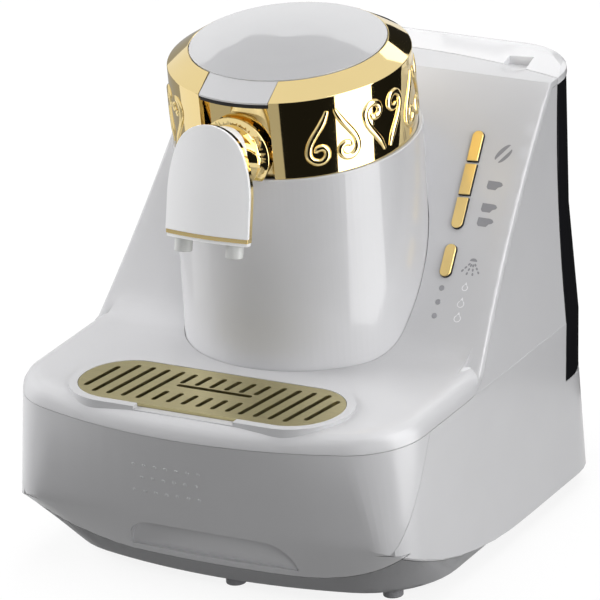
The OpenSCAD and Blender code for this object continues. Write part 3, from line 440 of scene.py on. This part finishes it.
def sector(profile, start, end, steps):
    """A turned section from one angle to another, each a function of radius and height."""
    rows = []
    for k in range(steps + 1):
        row = []
        for r, z in profile:
            a, b = start(r, z), end(r, z)
            row.append(head_point(r, a + (b - a) * k / steps, z))
        rows.append(row)
    return grid(rows)


def soft_copy(node, edge=None, angle=28, shape=None, flat=0.5, weighted=True):
    """A copy of a moulded node with rounded edges and even shading, which stands for it.

    Edges sharper than the angle are rounded by the radius edge, or stay sharp where it is 0.
    Faces that turn less than flat are joined first, and shape may change the mesh after that.
    """
    mesh = frame["nodes"][node].data.copy()
    work = bmesh.new()
    work.from_mesh(mesh)
    bmesh.ops.remove_doubles(work, verts=work.verts, dist=MERGE_NEAR)
    if flat:
        bmesh.ops.dissolve_limit(
            work, angle_limit=math.radians(flat), verts=work.verts, edges=work.edges)
    work.normal_update()
    if shape:
        shape(work)
    work.to_mesh(mesh)
    work.free()
    mesh.shade_smooth()
    mesh.set_sharp_from_angle(angle=math.radians(angle))
    piece = new_piece("moulding_" + node, mesh, body_of(node), FINISH_OF[node])
    if edge != 0:
        bevel = piece.modifiers.new("Rounded edges", "BEVEL")
        bevel.width = edge or sizes().edge_round
        bevel.segments = EDGE_SEGMENTS
        bevel.limit_method = "ANGLE"
        bevel.angle_limit = math.radians(angle)
        bevel.use_clamp_overlap = True
    if weighted:
        shading = piece.modifiers.new("Even shading", "WEIGHTED_NORMAL")
        shading.keep_sharp = True
    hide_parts(node)
    return piece


SPLIT_ROUNDS = 7


def refine(work, longest):
    """Splits every edge that is longer than a length, so that shading has points to hold on to."""
    bmesh.ops.triangulate(work, faces=work.faces)
    for _ in range(SPLIT_ROUNDS):
        edges = [edge for edge in work.edges if edge.calc_length() > longest]
        if not edges:
            break
        bmesh.ops.subdivide_edges(work, edges=edges, cuts=1)
        bmesh.ops.triangulate(work, faces=[face for face in work.faces if len(face.verts) > 3])


# How much a corner's own face counts, and a face close to the corner
OWN_WEIGHT = 0.01
NEAR_WEIGHT = 1.02


def even_normals(mesh, reach, angle, count):
    """Shades each corner by the faces near it that turn less than an angle away from its own."""
    faces = [(face.center.copy(), face.normal.copy(), face.area) for face in mesh.polygons]
    tree = KDTree(len(faces))
    for i, (centre, _, _) in enumerate(faces):
        tree.insert(centre, i)
    tree.balance()
    near = {}
    limit = math.cos(math.radians(angle))
    normals = []
    for face in mesh.polygons:
        own = faces[face.index][1]
        for vert in face.vertices:
            if vert not in near:
                found = tree.find_n(mesh.vertices[vert].co, count)
                near[vert] = [(faces[i][1], faces[i][2] * (NEAR_WEIGHT - gap / reach))
                              for _, i, gap in found if gap < reach]
            total = own * (faces[face.index][2] * OWN_WEIGHT)
            for normal, weight in near[vert]:
                if normal.dot(own) > limit:
                    total = total + normal * weight
            normals.append(total.normalized())
    mesh.shade_smooth()
    mesh.normals_split_custom_set(normals)


def smooth_copy(node, shape=None, longest=8 * MM, reach=9 * MM, angle=22, count=26):
    """A soft copy of a large moulding whose shading is free of facets."""
    piece = soft_copy(node, shape=shape, weighted=False)
    rounded_piece = piece.evaluated_get(bpy.context.evaluated_depsgraph_get())
    mesh = bpy.data.meshes.new_from_object(rounded_piece)
    piece.modifiers.clear()
    work = bmesh.new()
    work.from_mesh(mesh)
    refine(work, longest)
    work.to_mesh(mesh)
    work.free()
    even_normals(mesh, reach, angle, count)
    piece.data = mesh
    return piece


# ---- finishes ----

class COFFEE_OT_finishes(bpy.types.Operator):
    """Give every solid of the maker its finish, a few of them with painted light or shade in their
    colour
    """
    bl_idname = "coffee.finishes"
    bl_label = "Finishes"

    def execute(self, context):
        make_materials()
        for node, finish in FINISH_OF.items():
            dress(frame["nodes"][node], finish)
        return {"FINISHED"}


# ---- housing and drawer ----

# The key face's long edges: further out than this, between a face that looks up like the key
# face and one that looks sideways
FLANK_INSIDE = 101 * MM
LOOKS_UP = 0.99
LOOKS_SIDEWAYS = 0.85
FLANK_SEGMENTS = 5


def round_key_face(work):
    """Rounds the long edges where the key face turns down into the flanks."""
    face_up = Vector((0, -math.sin(SLOPE), math.cos(SLOPE)))

    def is_edge(edge):
        if len(edge.link_faces) != 2 or any(abs(vert.co.x) < FLANK_INSIDE for vert in edge.verts):
            return False
        one, two = (face.normal for face in edge.link_faces)
        for up, side in ((one, two), (two, one)):
            if up.dot(face_up) > LOOKS_UP and abs(side.x) > LOOKS_SIDEWAYS:
                return True
        return False

    edges = [edge for edge in work.edges if is_edge(edge)]
    bmesh.ops.bevel(work, geom=edges, offset=sizes().flank_round, segments=FLANK_SEGMENTS,
                    profile=0.5, affect="EDGES", clamp_overlap=False)


class COFFEE_OT_housing(bpy.types.Operator):
    """Round the edges of the housing's mouldings"""
    bl_idname = "coffee.housing"
    bl_label = "Housing"

    def execute(self, context):
        smooth_copy("saddle_cover", shape=round_key_face, angle=30)
        for node in ("side_panel_left", "side_panel_right"):
            smooth_copy(node, angle=15)
        smooth_copy("rear_cover")
        soft_copy("column_shell")
        smooth_copy("base_pan", angle=50)
        soft_copy("feet", edge=0.4 * MM)
        soft_copy("power_inlet", edge=0.3 * MM)
        return {"FINISHED"}


# Three staggered rows of raised dots: height and first place across in metres, and count.
# Their places on the front are found from BEFORE_DRAWER, a depth well in front of it
DOT_ROWS = ((0.0740, -0.0315, 7), (0.0658, -0.0285, 6), (0.0566, -0.0355, 7))
BEFORE_DRAWER = -0.3
DOT_SINK = 0.2 * MM
DOT_SIDES = 16
# The rings of a dot, from its foot to short of its top
DOT_TILTS = [math.pi / 2 * k / 3.4 for k in range(4)]


def dome(centre, normal, radius, height):
    """A low round dot on a surface, sunk a little into it."""
    across = normal.orthogonal().normalized()
    along = normal.cross(across)
    ways = [across * math.cos(a) + along * math.sin(a)
            for a in (math.tau * i / DOT_SIDES for i in range(DOT_SIDES))]
    rows = [[centre - normal * DOT_SINK + way * radius for way in ways]]
    for tilt in DOT_TILTS:
        rows.append([centre + normal * height * math.sin(tilt) + way * radius * math.cos(tilt)
                     for way in ways])
    return grid(rows)


class COFFEE_OT_drawer(bpy.types.Operator):
    """Round the drawer front and set the rows of grip dots on it"""
    bl_idname = "coffee.drawer"
    bl_label = "Drawer"

    def execute(self, context):
        smooth_copy("drawer_front", longest=7 * MM, reach=10 * MM, angle=26, count=110)
        front = frame["nodes"]["drawer_front"].data
        skin = BVHTree.FromPolygons(
            [v.co for v in front.vertices], [p.vertices for p in front.polygons])
        dots = []
        for height, first, count in DOT_ROWS:
            for i in range(count):
                start = Vector((first + i * sizes().dot_pitch, BEFORE_DRAWER, height))
                place, normal, _, _ = skin.ray_cast(start, Vector((0, 1, 0)))
                dots.append(dome(place, normal, sizes().dot_radius, sizes().dot_height))
        new_piece("drawer_dots", mesh_from("drawer_dots", *joined(dots)),
                  body_of("drawer_front"), "pearl")
        return {"FINISHED"}


# ---- head ----

# The ring's wall, its bevelled rim, and half the widths of its two openings
WALL_IN = RING_R - 3.4 * MM
SLEEVE_R = WALL_IN - 0.3 * MM
RIM_IN = LID_R + 0.2 * MM
RIM_LOW = -2.2 * MM
RIM_TOP = BEVEL_H - 0.1 * MM
WALL_TOP = -3.4 * MM
MOUTH = 20.2 * MM
HINGE_HALF = 9.4 * MM
RING_ROUND = 0.5 * MM
SHOULDER_ROUND = 0.7 * MM
HALF_RING_STEPS = 120
HINGE_STEPS = 12


def ring_mesh():
    """The plated ring with its bevelled rim: open for the tongue in front and the hinge behind."""
    section = rounded(
        [(WALL_IN, -RING_H), (RING_R, -RING_H), (RING_R, 0), (RIM_IN, RIM_TOP),
         (RIM_IN, RIM_LOW), (SLEEVE_R, RIM_LOW), (SLEEVE_R, WALL_TOP), (WALL_IN, WALL_TOP)],
        [0, RING_ROUND, SHOULDER_ROUND, RING_ROUND, 0, 0, 0, 0])
    rear = rounded(
        [(WALL_IN, -RING_H), (RING_R, -RING_H), (RING_R, RIM_LOW), (SLEEVE_R, RIM_LOW),
         (SLEEVE_R, WALL_TOP), (WALL_IN, WALL_TOP)],
        [0, RING_ROUND, 0, 0, 0, 0])

    def front_edge(r, z):
        return math.asin(MOUTH / r)

    def hinge_edge(r, z):
        return math.pi - math.asin(HINGE_HALF / r)

    return mesh_from("gold_ring", *joined([
        sector(section, front_edge, hinge_edge, HALF_RING_STEPS),
        sector(section, lambda r, z: -hinge_edge(r, z), lambda r, z: -front_edge(r, z),
               HALF_RING_STEPS),
        sector(rear, hinge_edge, lambda r, z: math.tau - hinge_edge(r, z), HINGE_STEPS)]))


def spiral(centre, turns, inner, outer, steps):
    """Points of a spiral that opens from an inner to an outer radius and ends at its right."""
    points = []
    for k in range(steps + 1):
        t = k / steps
        angle = -math.tau * turns * (1 - t)
        radius = inner + (outer - inner) * t
        points.append(Vector((centre[0] + radius * math.cos(angle),
                              centre[1] + radius * math.sin(angle))))
    return points


def bezier(p0, p1, p2, p3, steps):
    """Points of a cubic curve, without its first."""
    p0, p1, p2, p3 = map(Vector, (p0, p1, p2, p3))
    return [(1 - t) ** 3 * p0 + 3 * t * (1 - t) ** 2 * p1 + 3 * t * t * (1 - t) * p2 + t ** 3 * p3
            for t in (k / steps for k in range(1, steps + 1))]


# One scroll, in millimetres from its middle: its volute, and the curve that rises to the tip
VOLUTE_CENTRE = (7.4, -7.2)
VOLUTE_TURNS = 0.95
VOLUTE_INNER, VOLUTE_OUTER = 1.9, 6.0
RISE = ((13.4, -7.2), (13.4, 1.2), (5.4, 5.2), (2.2, 15.0))
VOLUTE_STEPS, RISE_STEPS = 36, 24


def lyre():
    """The two strokes of one scroll: mirrored volutes that rise to a tip."""
    volute = spiral(VOLUTE_CENTRE, VOLUTE_TURNS, VOLUTE_INNER, VOLUTE_OUTER, VOLUTE_STEPS)
    right = volute + bezier(*RISE, RISE_STEPS)
    left = [Vector((-p.x, p.y)) for p in right]
    return right, left


# How narrow a stroke's tips are, how fast it widens from them, and how deep it sits in the wall
TIP_SHARE = 0.62
TIP_GROWTH = 4.5
STROKE_SINK = 0.1 * MM
STROKE_SIDES = 8


def stroke(path, turn, height, flip, width, relief):
    """A half-round raised stroke laid round the ring's wall, tapered at both ends."""
    profile = [math.cos(math.pi * k / STROKE_SIDES) for k in range(STROKE_SIDES + 1)]
    rows = []
    count = len(path)
    for k, here in enumerate(path):
        way = (path[min(k + 1, count - 1)] - path[max(k - 1, 0)]).normalized()
        side = Vector((-way.y, way.x))
        t = k / (count - 1)
        taper = min(1.0, TIP_SHARE + TIP_GROWTH * min(t, 1 - t))
        row = []
        for s in profile:
            spot = here * MM + side * (s * width * taper / 2)
            lift = relief * taper * math.sqrt(max(0.0, 1 - s * s)) - STROKE_SINK
            row.append(head_point(
                RING_R + lift, turn + spot.x / RING_R, height + flip * spot.y))
        rows.append(row)
    return grid(rows)


SCROLLS = 10
SCROLL_FIRST = math.radians(47.3)
SCROLL_STEP = math.radians(29.49)
SCROLL_Z = -22.5 * MM


def scroll_mesh():
    """The scrolls round the ring, every second one upside down."""
    strokes = []
    for k in range(SCROLLS):
        flip = 1 if k % 2 == 0 else -1
        for path in lyre():
            strokes.append(stroke(path, SCROLL_FIRST + k * SCROLL_STEP, SCROLL_Z, flip,
                                  sizes().scroll_width, sizes().scroll_relief))
    return mesh_from("scroll_work", *joined(strokes), smooth=60)


class COFFEE_OT_head(bpy.types.Operator):
    """Turn the gold ring with its rim, lay the scroll work on it and soften the lid"""
    bl_idname = "coffee.head"
    bl_label = "Brewing head"

    def execute(self, context):
        ring = new_piece("gold_ring", ring_mesh(), body_of("ring_band"), "gold")
        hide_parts("ring_band", "ring_bevel")
        new_piece("scroll_work", scroll_mesh(), body_of("ring_band"), "gold_raised")
        soft_copy("head_lid", edge=0.4 * MM, flat=0)
        soft_copy("lip_gasket", edge=0.2 * MM)
        return {"FINISHED"}


class COFFEE_OT_spout(bpy.types.Operator):
    """Round the spout's shield, back, trim and nozzles, and even out its arm"""
    bl_idname = "coffee.spout"
    bl_label = "Spout"

    def execute(self, context):
        soft_copy("spout_shield", edge=0.5 * MM)
        soft_copy("spout_back", edge=0.4 * MM)
        soft_copy("spout_trim", edge=0.3 * MM)
        soft_copy("spout_arm", edge=0, angle=50, flat=0)
        soft_copy("spout_nozzles", edge=0.3 * MM)
        return {"FINISHED"}


# ---- keys and signs ----

# Printed ink reaches from a little below the key face to a little above it
PRINT_LOW = -0.02 * MM
PRINT_HIGH = 0.05 * MM

# The signs, in millimetres across and up the key face: the bean's halves (place, half length,
# half width, side), the cups (place, width), the spray, and the drops (place, size)
BEAN_TILT = 55
BEAN_SLIT = 0.35
BEAN_HALVES = ((88.8, 117.8, 5.6, 2.3, 1), (89.8, 116.6, 5.0, 2.0, -1))
CUPS = ((88.8, 99.4, 7.2), (89.4, 86.8, 7.2), (89.6, 78.8, 7.4))
SPRAY_PLACE = (90.5, 54.3)
DROPS = ((90.2, 42.0, 1.7), (90.6, 33.0, 2.0), (91.2, 25.0, 2.0))

# The spray's nozzle (height, half length, half width), where its water fans out, in which
# directions and how far, and one streak of it (half length, half width)
NOZZLE_UP, NOZZLE_OVAL = 2.6, (2.1, 1.7)
FAN_UP = 3.2
FAN_ANGLES = (234, 258, 282, 306)
FAN_REACHES = (3.0, 5.4, 7.8)
STREAK_OVAL = (0.9, 0.55)

# A drop's line: its width, where its arc starts and ends, and in how many steps
DROP_LINE = 0.45
DROP_ARC = (-240, 60)
DROP_STEPS = 18

# Outlines as shares of a cup's half width with heights in millimetres, and of a drop's size
CUP_OUTLINE = ((-1, 2.4), (-1, -1.2), (-0.72, -2.4), (0.5, -2.4), (0.8, -0.8), (1.25, -0.2),
               (1.45, 0.8), (1.2, 2.0), (0.8, 2.4))
DROP_TIP = ((-0.5, 0.8), (0, 1.9), (0.5, 0.8), (0.1, 1.1), (-0.1, 1.1))


def sign(outline):
    """A thin printed shape on the key face."""
    return grid([[KEY_FACE @ Vector((x * MM, s * MM, lift)) for x, s in outline]
                 for lift in (PRINT_LOW, PRINT_HIGH)])


def turned(x, s, tilt, points):
    """Points about a place on the key face, turned by a tilt in degrees."""
    c, n = math.cos(math.radians(tilt)), math.sin(math.radians(tilt))
    return [(x + u * c - v * n, s + u * n + v * c) for u, v in points]


def oval(x, s, half_long, half_short, tilt, sides=10):
    """An ellipse on the key face."""
    angles = [math.tau * i / sides for i in range(sides)]
    return turned(x, s, tilt, [(half_long * math.cos(a), half_short * math.sin(a))
                               for a in angles])


def half_oval(x, s, half_long, half_short, tilt, side, slit, steps=12):
    """One half of an ellipse, cut along its long axis."""
    angles = [math.pi * i / steps for i in range(steps + 1)]
    return turned(x, s, tilt, [(half_long * math.cos(a), side * (slit + half_short * math.sin(a)))
                               for a in angles])


def ring_sign(x, s, radius, width, start, end, steps):
    """An arc of even width, from one angle to another in degrees."""
    outer, inner = [], []
    for i in range(steps + 1):
        a = math.radians(start + (end - start) * i / steps)
        outer.append((x + radius * math.cos(a), s + radius * math.sin(a)))
        inner.append((x + (radius - width) * math.cos(a), s + (radius - width) * math.sin(a)))
    return outer + inner[::-1]


def cup(x, s, width):
    """A low coffee cup with a solid handle."""
    return [(x + width / 2 * u, s + v) for u, v in CUP_OUTLINE]


def spray(x, s):
    """Water that fans out below a nozzle."""
    marks = [half_oval(x, s + NOZZLE_UP, *NOZZLE_OVAL, 0, 1, 0.0)]
    for angle in FAN_ANGLES:
        a = math.radians(angle)
        for reach in FAN_REACHES:
            marks.append(oval(x + reach * math.cos(a), s + FAN_UP + reach * math.sin(a),
                              *STREAK_OVAL, angle))
    return marks


def drop_sign(x, s, size):
    """An outlined drop."""
    return [ring_sign(x, s, size, DROP_LINE, *DROP_ARC, DROP_STEPS),
            [(x + size * u, s + size * v) for u, v in DROP_TIP]]


def print_signs(name, outlines, ink):
    """Prints outlines on the key face in one ink."""
    mesh = mesh_from(name, *joined([sign(outline) for outline in outlines]), smooth=0)
    new_piece(name, mesh, body_of("saddle_cover"), ink)


# A key stands up over the face from CAP_FROM: all of it by KEY_RISE, its black skirt by less,
# so that CAP_SHOWN of the plated cap is seen from the side; the skirt is painted shade on the key's
# sides
CAP_FROM = 0.4 * MM
KEY_RISE = 1.2 * MM
CAP_SHOWN = 0.55 * MM
SHADE_SKIRT_OUT = 0.1 * MM
KEYS = ("key_beans", "key_one_cup", "key_two_cups", "key_rinse")


def raise_key(work):
    """Lifts a key's cap to its full height over the key face."""
    to_face = KEY_FACE.inverted()
    for vert in work.verts:
        place = to_face @ vert.co
        if place.z > CAP_FROM:
            vert.co = KEY_FACE @ Vector((place.x, place.y, place.z + KEY_RISE))


def key_shade_skirt(node):
    """A black skirt below a key's plated cap: painted shade on the key's side walls."""
    mesh = frame["nodes"][node].data.copy()
    to_face = KEY_FACE.inverted()
    low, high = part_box(node)
    centre = to_face @ ((Vector(low) + Vector(high)) / 2)
    for vert in mesh.vertices:
        place = to_face @ vert.co
        for axis in (0, 1):
            place[axis] += math.copysign(SHADE_SKIRT_OUT, place[axis] - centre[axis])
        if place.z > CAP_FROM:
            place.z += KEY_RISE - CAP_SHOWN
        vert.co = KEY_FACE @ place
    # Black here is painted shade of the key's side walls, not a dark part
    new_piece("shade_skirt_" + node, mesh, body_of(node), "black")


class COFFEE_OT_keys(bpy.types.Operator):
    """Round the gold keys, print the signs beside them and soften lights and grille"""
    bl_idname = "coffee.keys"
    bl_label = "Keys and signs"

    def execute(self, context):
        for node in KEYS:
            soft_copy(node, edge=0.4 * MM, shape=raise_key)
            key_shade_skirt(node)
        beans = [half_oval(x, s, half_long, half_short, BEAN_TILT, side, BEAN_SLIT)
                 for x, s, half_long, half_short, side in BEAN_HALVES]
        cups = [cup(*row) for row in CUPS]
        print_signs("key_signs", beans + cups + spray(*SPRAY_PLACE), "ink")
        print_signs("light_signs", [mark for row in DROPS for mark in drop_sign(*row)],
                    "pale_ink")
        soft_copy("status_lights", edge=0.2 * MM)
        soft_copy("drip_grille", edge=0.35 * MM)
        return {"FINISHED"}


# ---- water tank ----

class COFFEE_OT_tank(bpy.types.Operator):
    """Round the smoked water tank and its lid"""
    bl_idname = "coffee.tank"
    bl_label = "Water tank"

    def execute(self, context):
        soft_copy("water_tank")
        soft_copy("tank_lid", edge=0.8 * MM)
        return {"FINISHED"}


# ---- studio ----

WHITE = (1, 1, 1, 1)

CAMERA_AZIMUTH = math.radians(30.0)
CAMERA_HEIGHT = math.radians(21.9)
CAMERA_ROLL = math.radians(-3.5)
CAMERA_DISTANCE = 3500 * MM
CAMERA_SIDE = -2.2 * MM
CAMERA_DOWN = -126.0 * MM
CAMERA_SEES = 20.0
# The focal length in pixels of a frame this wide, and the sensor's width in millimetres
FOCAL_PIXELS = 6841
FRAME_PIXELS = 600
SENSOR = 36.0


def camera_frame():
    """The camera's right, up and back directions, and its place."""
    a, e, r = CAMERA_AZIMUTH, CAMERA_HEIGHT, CAMERA_ROLL
    back = Vector((math.sin(a) * math.cos(e), -math.cos(a) * math.cos(e), math.sin(e)))
    level = Vector((math.cos(a), math.sin(a), 0))
    upright = back.cross(level)
    right = math.cos(r) * level + math.sin(r) * upright
    up = math.cos(r) * upright - math.sin(r) * level
    aim = Vector((0, SHIFT_Y, HEAD_TOP)) + level * CAMERA_SIDE + upright * CAMERA_DOWN
    return right, up, back, aim + back * CAMERA_DISTANCE


# Lamps: place, size, power in watts; all of them aim at one point
LAMP_AIM = (0, 0, 0.12)
LAMPS = (
    ("top_light", (0.1, 0.1, 1.5), (1.6, 1.6), 12.6),
    ("left_light", (-1.6, -0.3, 0.6), (0.8, 1.4), 38),
    ("right_light", (1.6, -0.2, 0.7), (0.8, 1.4), 16),
    ("front_right_light", (1.2, -1.2, 0.5), (0.8, 0.8), 11),
    ("rear_top_light", (0.0, 1.1, 1.3), (1.2, 0.8), 9.9),
)


def area_lamp(name, place, size, power):
    """A soft lamp aimed at the maker, unseen by the camera and in reflections."""
    lamp = bpy.data.lights.new(name, "AREA")
    lamp.shape = "RECTANGLE"
    lamp.size, lamp.size_y = size
    lamp.energy = power
    light = bpy.data.objects.new(name, lamp)
    bpy.context.scene.collection.objects.link(light)
    light.location = place
    light.rotation_euler = (Vector(LAMP_AIM) - Vector(place)).to_track_quat("-Z", "Y").to_euler()
    light.visible_camera = light.visible_glossy = False


def seen_directly(tree):
    """1 for what the eye, a mirror or glass sees, 0 for light thrown from surface to surface."""
    path = add(tree, "ShaderNodeLightPath").outputs
    mirror = add(tree, "ShaderNodeMath", {0: path["Is Camera Ray"], 1: path["Is Glossy Ray"]},
                 operation="MAXIMUM")
    return add(tree, "ShaderNodeMath", {0: mirror.outputs[0], 1: path["Is Transmission Ray"]},
               operation="MAXIMUM").outputs[0]


# The floor: how far it reaches, how much of it glows evenly and so hides the maker's shadow,
# and the grey of the light that it throws back
FLOOR_HALF = 3.0
FLOOR_GLOW = 0.86
FLOOR_THROWN = "#3C3C3C"


def floor_material():
    """White where it is seen, with a soft shadow; a grey of its own for the light it throws."""
    material, tree = new_material("Studio floor")
    seen = seen_directly(tree)
    share = add(tree, "ShaderNodeMath", {0: seen, 1: FLOOR_GLOW}, operation="MULTIPLY")
    own = add(tree, "ShaderNodeMixRGB", {
        "Fac": seen, "Color1": rgba(linear(FLOOR_THROWN)), "Color2": WHITE})
    matt = add(tree, "ShaderNodeBsdfDiffuse", {"Color": own.outputs[0]})
    glow = add(tree, "ShaderNodeEmission", {"Color": WHITE, "Strength": 1.0})
    mix = add(tree, "ShaderNodeMixShader", {
        0: share.outputs[0], 1: matt.outputs[0], 2: glow.outputs[0]})
    add(tree, "ShaderNodeOutputMaterial", {"Surface": mix.outputs[0]})
    return material


# Light of the surroundings, apart from what the eye or a mirror sees of them
AMBIENT = 0.0

# Screens that only glossy parts show: from and to azimuth in degrees (0 in front, growing to
# the right), distance, lower and upper edge in metres, brightness, and how the lower edge
# arches up per degree squared
SCREENS = (
    ("front_screen", -60, 18, 0.33, 0.0, 0.30, 0.5),
    ("front_right_screen", 18, 66, 0.33, 0.0, 0.30, 0.012),
    ("right_screen", 66, 102, 0.33, 0.0, 0.80, 5.0),
    ("rear_right_screen", 102, 153, 0.36, 0.0, 0.30, 0.012),
    ("left_screen", -160, -90, 0.33, 0.0, 0.30, 0.4),
    ("rim_light_screen", 168, 183, 1.50, 0.95, 1.45, 2.5),
    ("rim_dark_screen", 176, 196, 1.50, 0.30, 0.95, 0.02),
    ("lid_screen", 202.2, 222.2, 1.50, 0.958, 1.45, 0.0, 0.005),
)
SCREEN_STEPS = 16

# A black card on the floor behind, which the smoked tank mirrors: two corners, height, brightness
TANK_CARD = (-0.6, 0.2), (1.0, 1.5)
TANK_CARD_Z = 2 * MM
TANK_CARD_BRIGHTNESS = 0.01

# The most that a card throws at a matt surface
CARD_THROWN = 0.4


def studio_sheet(name, verts, faces, material):
    """An open sheet that belongs to the studio."""
    mesh = bpy.data.meshes.new(name)
    mesh.from_pydata(verts, [], faces)
    mesh.materials.append(material)
    sheet = bpy.data.objects.new(name, mesh)
    bpy.context.scene.collection.objects.link(sheet)
    return sheet


def glossy_card(name, verts, faces, brightness):
    """A studio card that only glossy parts show, and that throws hardly any light of its own."""
    material, tree = new_material("Studio " + name.replace("_", " "))
    path = add(tree, "ShaderNodeLightPath")
    thrown = add(tree, "ShaderNodeMath", {0: path.outputs["Diffuse Depth"], 1: 0.5},
                 operation="GREATER_THAN")
    strength = add(tree, "ShaderNodeMapRange", {
        "Value": thrown.outputs[0], "To Min": brightness, "To Max": min(brightness, CARD_THROWN)})
    glow = add(tree, "ShaderNodeEmission", {"Color": WHITE, "Strength": strength.outputs[0]})
    add(tree, "ShaderNodeOutputMaterial", {"Surface": glow.outputs[0]})
    card = studio_sheet(name, verts, faces, material)
    for ray in ("camera", "diffuse", "transmission", "volume_scatter", "shadow"):
        setattr(card, "visible_" + ray, False)


def screen(name, start, end, distance, low, high, brightness, arch=0.0):
    """An upright card bent round the maker."""
    verts = []
    for k in range(SCREEN_STEPS + 1):
        turn = start + (end - start) * k / SCREEN_STEPS
        x = distance * math.sin(math.radians(turn))
        y = -distance * math.cos(math.radians(turn))
        verts += [(x, y, low + arch * (turn - (start + end) / 2) ** 2), (x, y, high)]
    faces = [(2 * k, 2 * k + 2, 2 * k + 3, 2 * k + 1) for k in range(SCREEN_STEPS)]
    glossy_card(name, verts, faces, brightness)


def level_corners(low, high, height):
    """The corners of a level rectangle."""
    return [(low[0], low[1], height), (high[0], low[1], height),
            (high[0], high[1], height), (low[0], high[1], height)]


def make_world(scene):
    """White surroundings for the eye and for mirrors, which light matt surfaces by AMBIENT."""
    scene.world = bpy.data.worlds.new("Studio")
    scene.world.use_nodes = True
    tree = scene.world.node_tree
    tree.nodes.clear()
    strength = add(tree, "ShaderNodeMapRange", {
        "Value": seen_directly(tree), "To Min": AMBIENT, "To Max": 1.0})
    sky = add(tree, "ShaderNodeBackground", {"Color": WHITE, "Strength": strength.outputs[0]})
    add(tree, "ShaderNodeOutputWorld", {"Surface": sky.outputs[0]})


def make_camera(scene):
    """The long lens that the scene is seen through."""
    lens = bpy.data.cameras.new("camera")
    lens.sensor_width = SENSOR
    lens.lens = FOCAL_PIXELS * SENSOR / FRAME_PIXELS
    lens.clip_end = CAMERA_SEES
    camera = bpy.data.objects.new("camera", lens)
    scene.collection.objects.link(camera)
    right, up, back, place = camera_frame()
    turn = Matrix((right, up, back)).transposed().to_4x4()
    camera.matrix_world = Matrix.Translation(place) @ turn
    scene.camera = camera


class COFFEE_OT_stage(bpy.types.Operator):
    """Set up the pale floor, the soft lamps, the screens and the camera"""
    bl_idname = "coffee.stage"
    bl_label = "Studio"

    def execute(self, context):
        scene = context.scene
        scene.view_settings.view_transform = "Standard"
        make_world(scene)
        studio_sheet("floor", level_corners((-FLOOR_HALF,) * 2, (FLOOR_HALF,) * 2, 0),
                     [(0, 1, 2, 3)], floor_material())
        for row in LAMPS:
            area_lamp(*row)
        for row in SCREENS:
            screen(*row)
        glossy_card("tank_card", level_corners(*TANK_CARD, TANK_CARD_Z), [(0, 1, 2, 3)],
                    TANK_CARD_BRIGHTNESS)
        make_camera(scene)
        return {"FINISHED"}


STEPS = (COFFEE_OT_finishes, COFFEE_OT_housing, COFFEE_OT_drawer, COFFEE_OT_head, COFFEE_OT_spout,
         COFFEE_OT_keys, COFFEE_OT_tank, COFFEE_OT_stage)


class COFFEE_PT_panel(bpy.types.Panel):
    """Lists the steps that dress the maker"""
    bl_label = "Coffee Maker"
    bl_idname = "COFFEE_PT_panel"
    bl_space_type = "VIEW_3D"
    bl_region_type = "UI"
    bl_category = "Coffee Maker"

    def draw(self, context):
        layout = self.layout
        for group in (context.scene.coffee_maker_colours, context.scene.coffee_maker_sizes):
            for name in group.__annotations__:
                layout.prop(group, name)
        for step in STEPS:
            layout.operator(step.bl_idname)


CLASSES = (CoffeeMakerColours, CoffeeMakerSizes, *STEPS, COFFEE_PT_panel)


def register():
    for cls in CLASSES:
        bpy.utils.register_class(cls)
    bpy.types.Scene.coffee_maker_colours = PointerProperty(type=CoffeeMakerColours)
    bpy.types.Scene.coffee_maker_sizes = PointerProperty(type=CoffeeMakerSizes)


def unregister():
    del bpy.types.Scene.coffee_maker_sizes
    del bpy.types.Scene.coffee_maker_colours
    for cls in reversed(CLASSES):
        bpy.utils.unregister_class(cls)


def main():
    register()
    for step in STEPS:
        group, name = step.bl_idname.split(".")
        getattr(getattr(bpy.ops, group), name)()


if __name__ == "__main__":
    main()
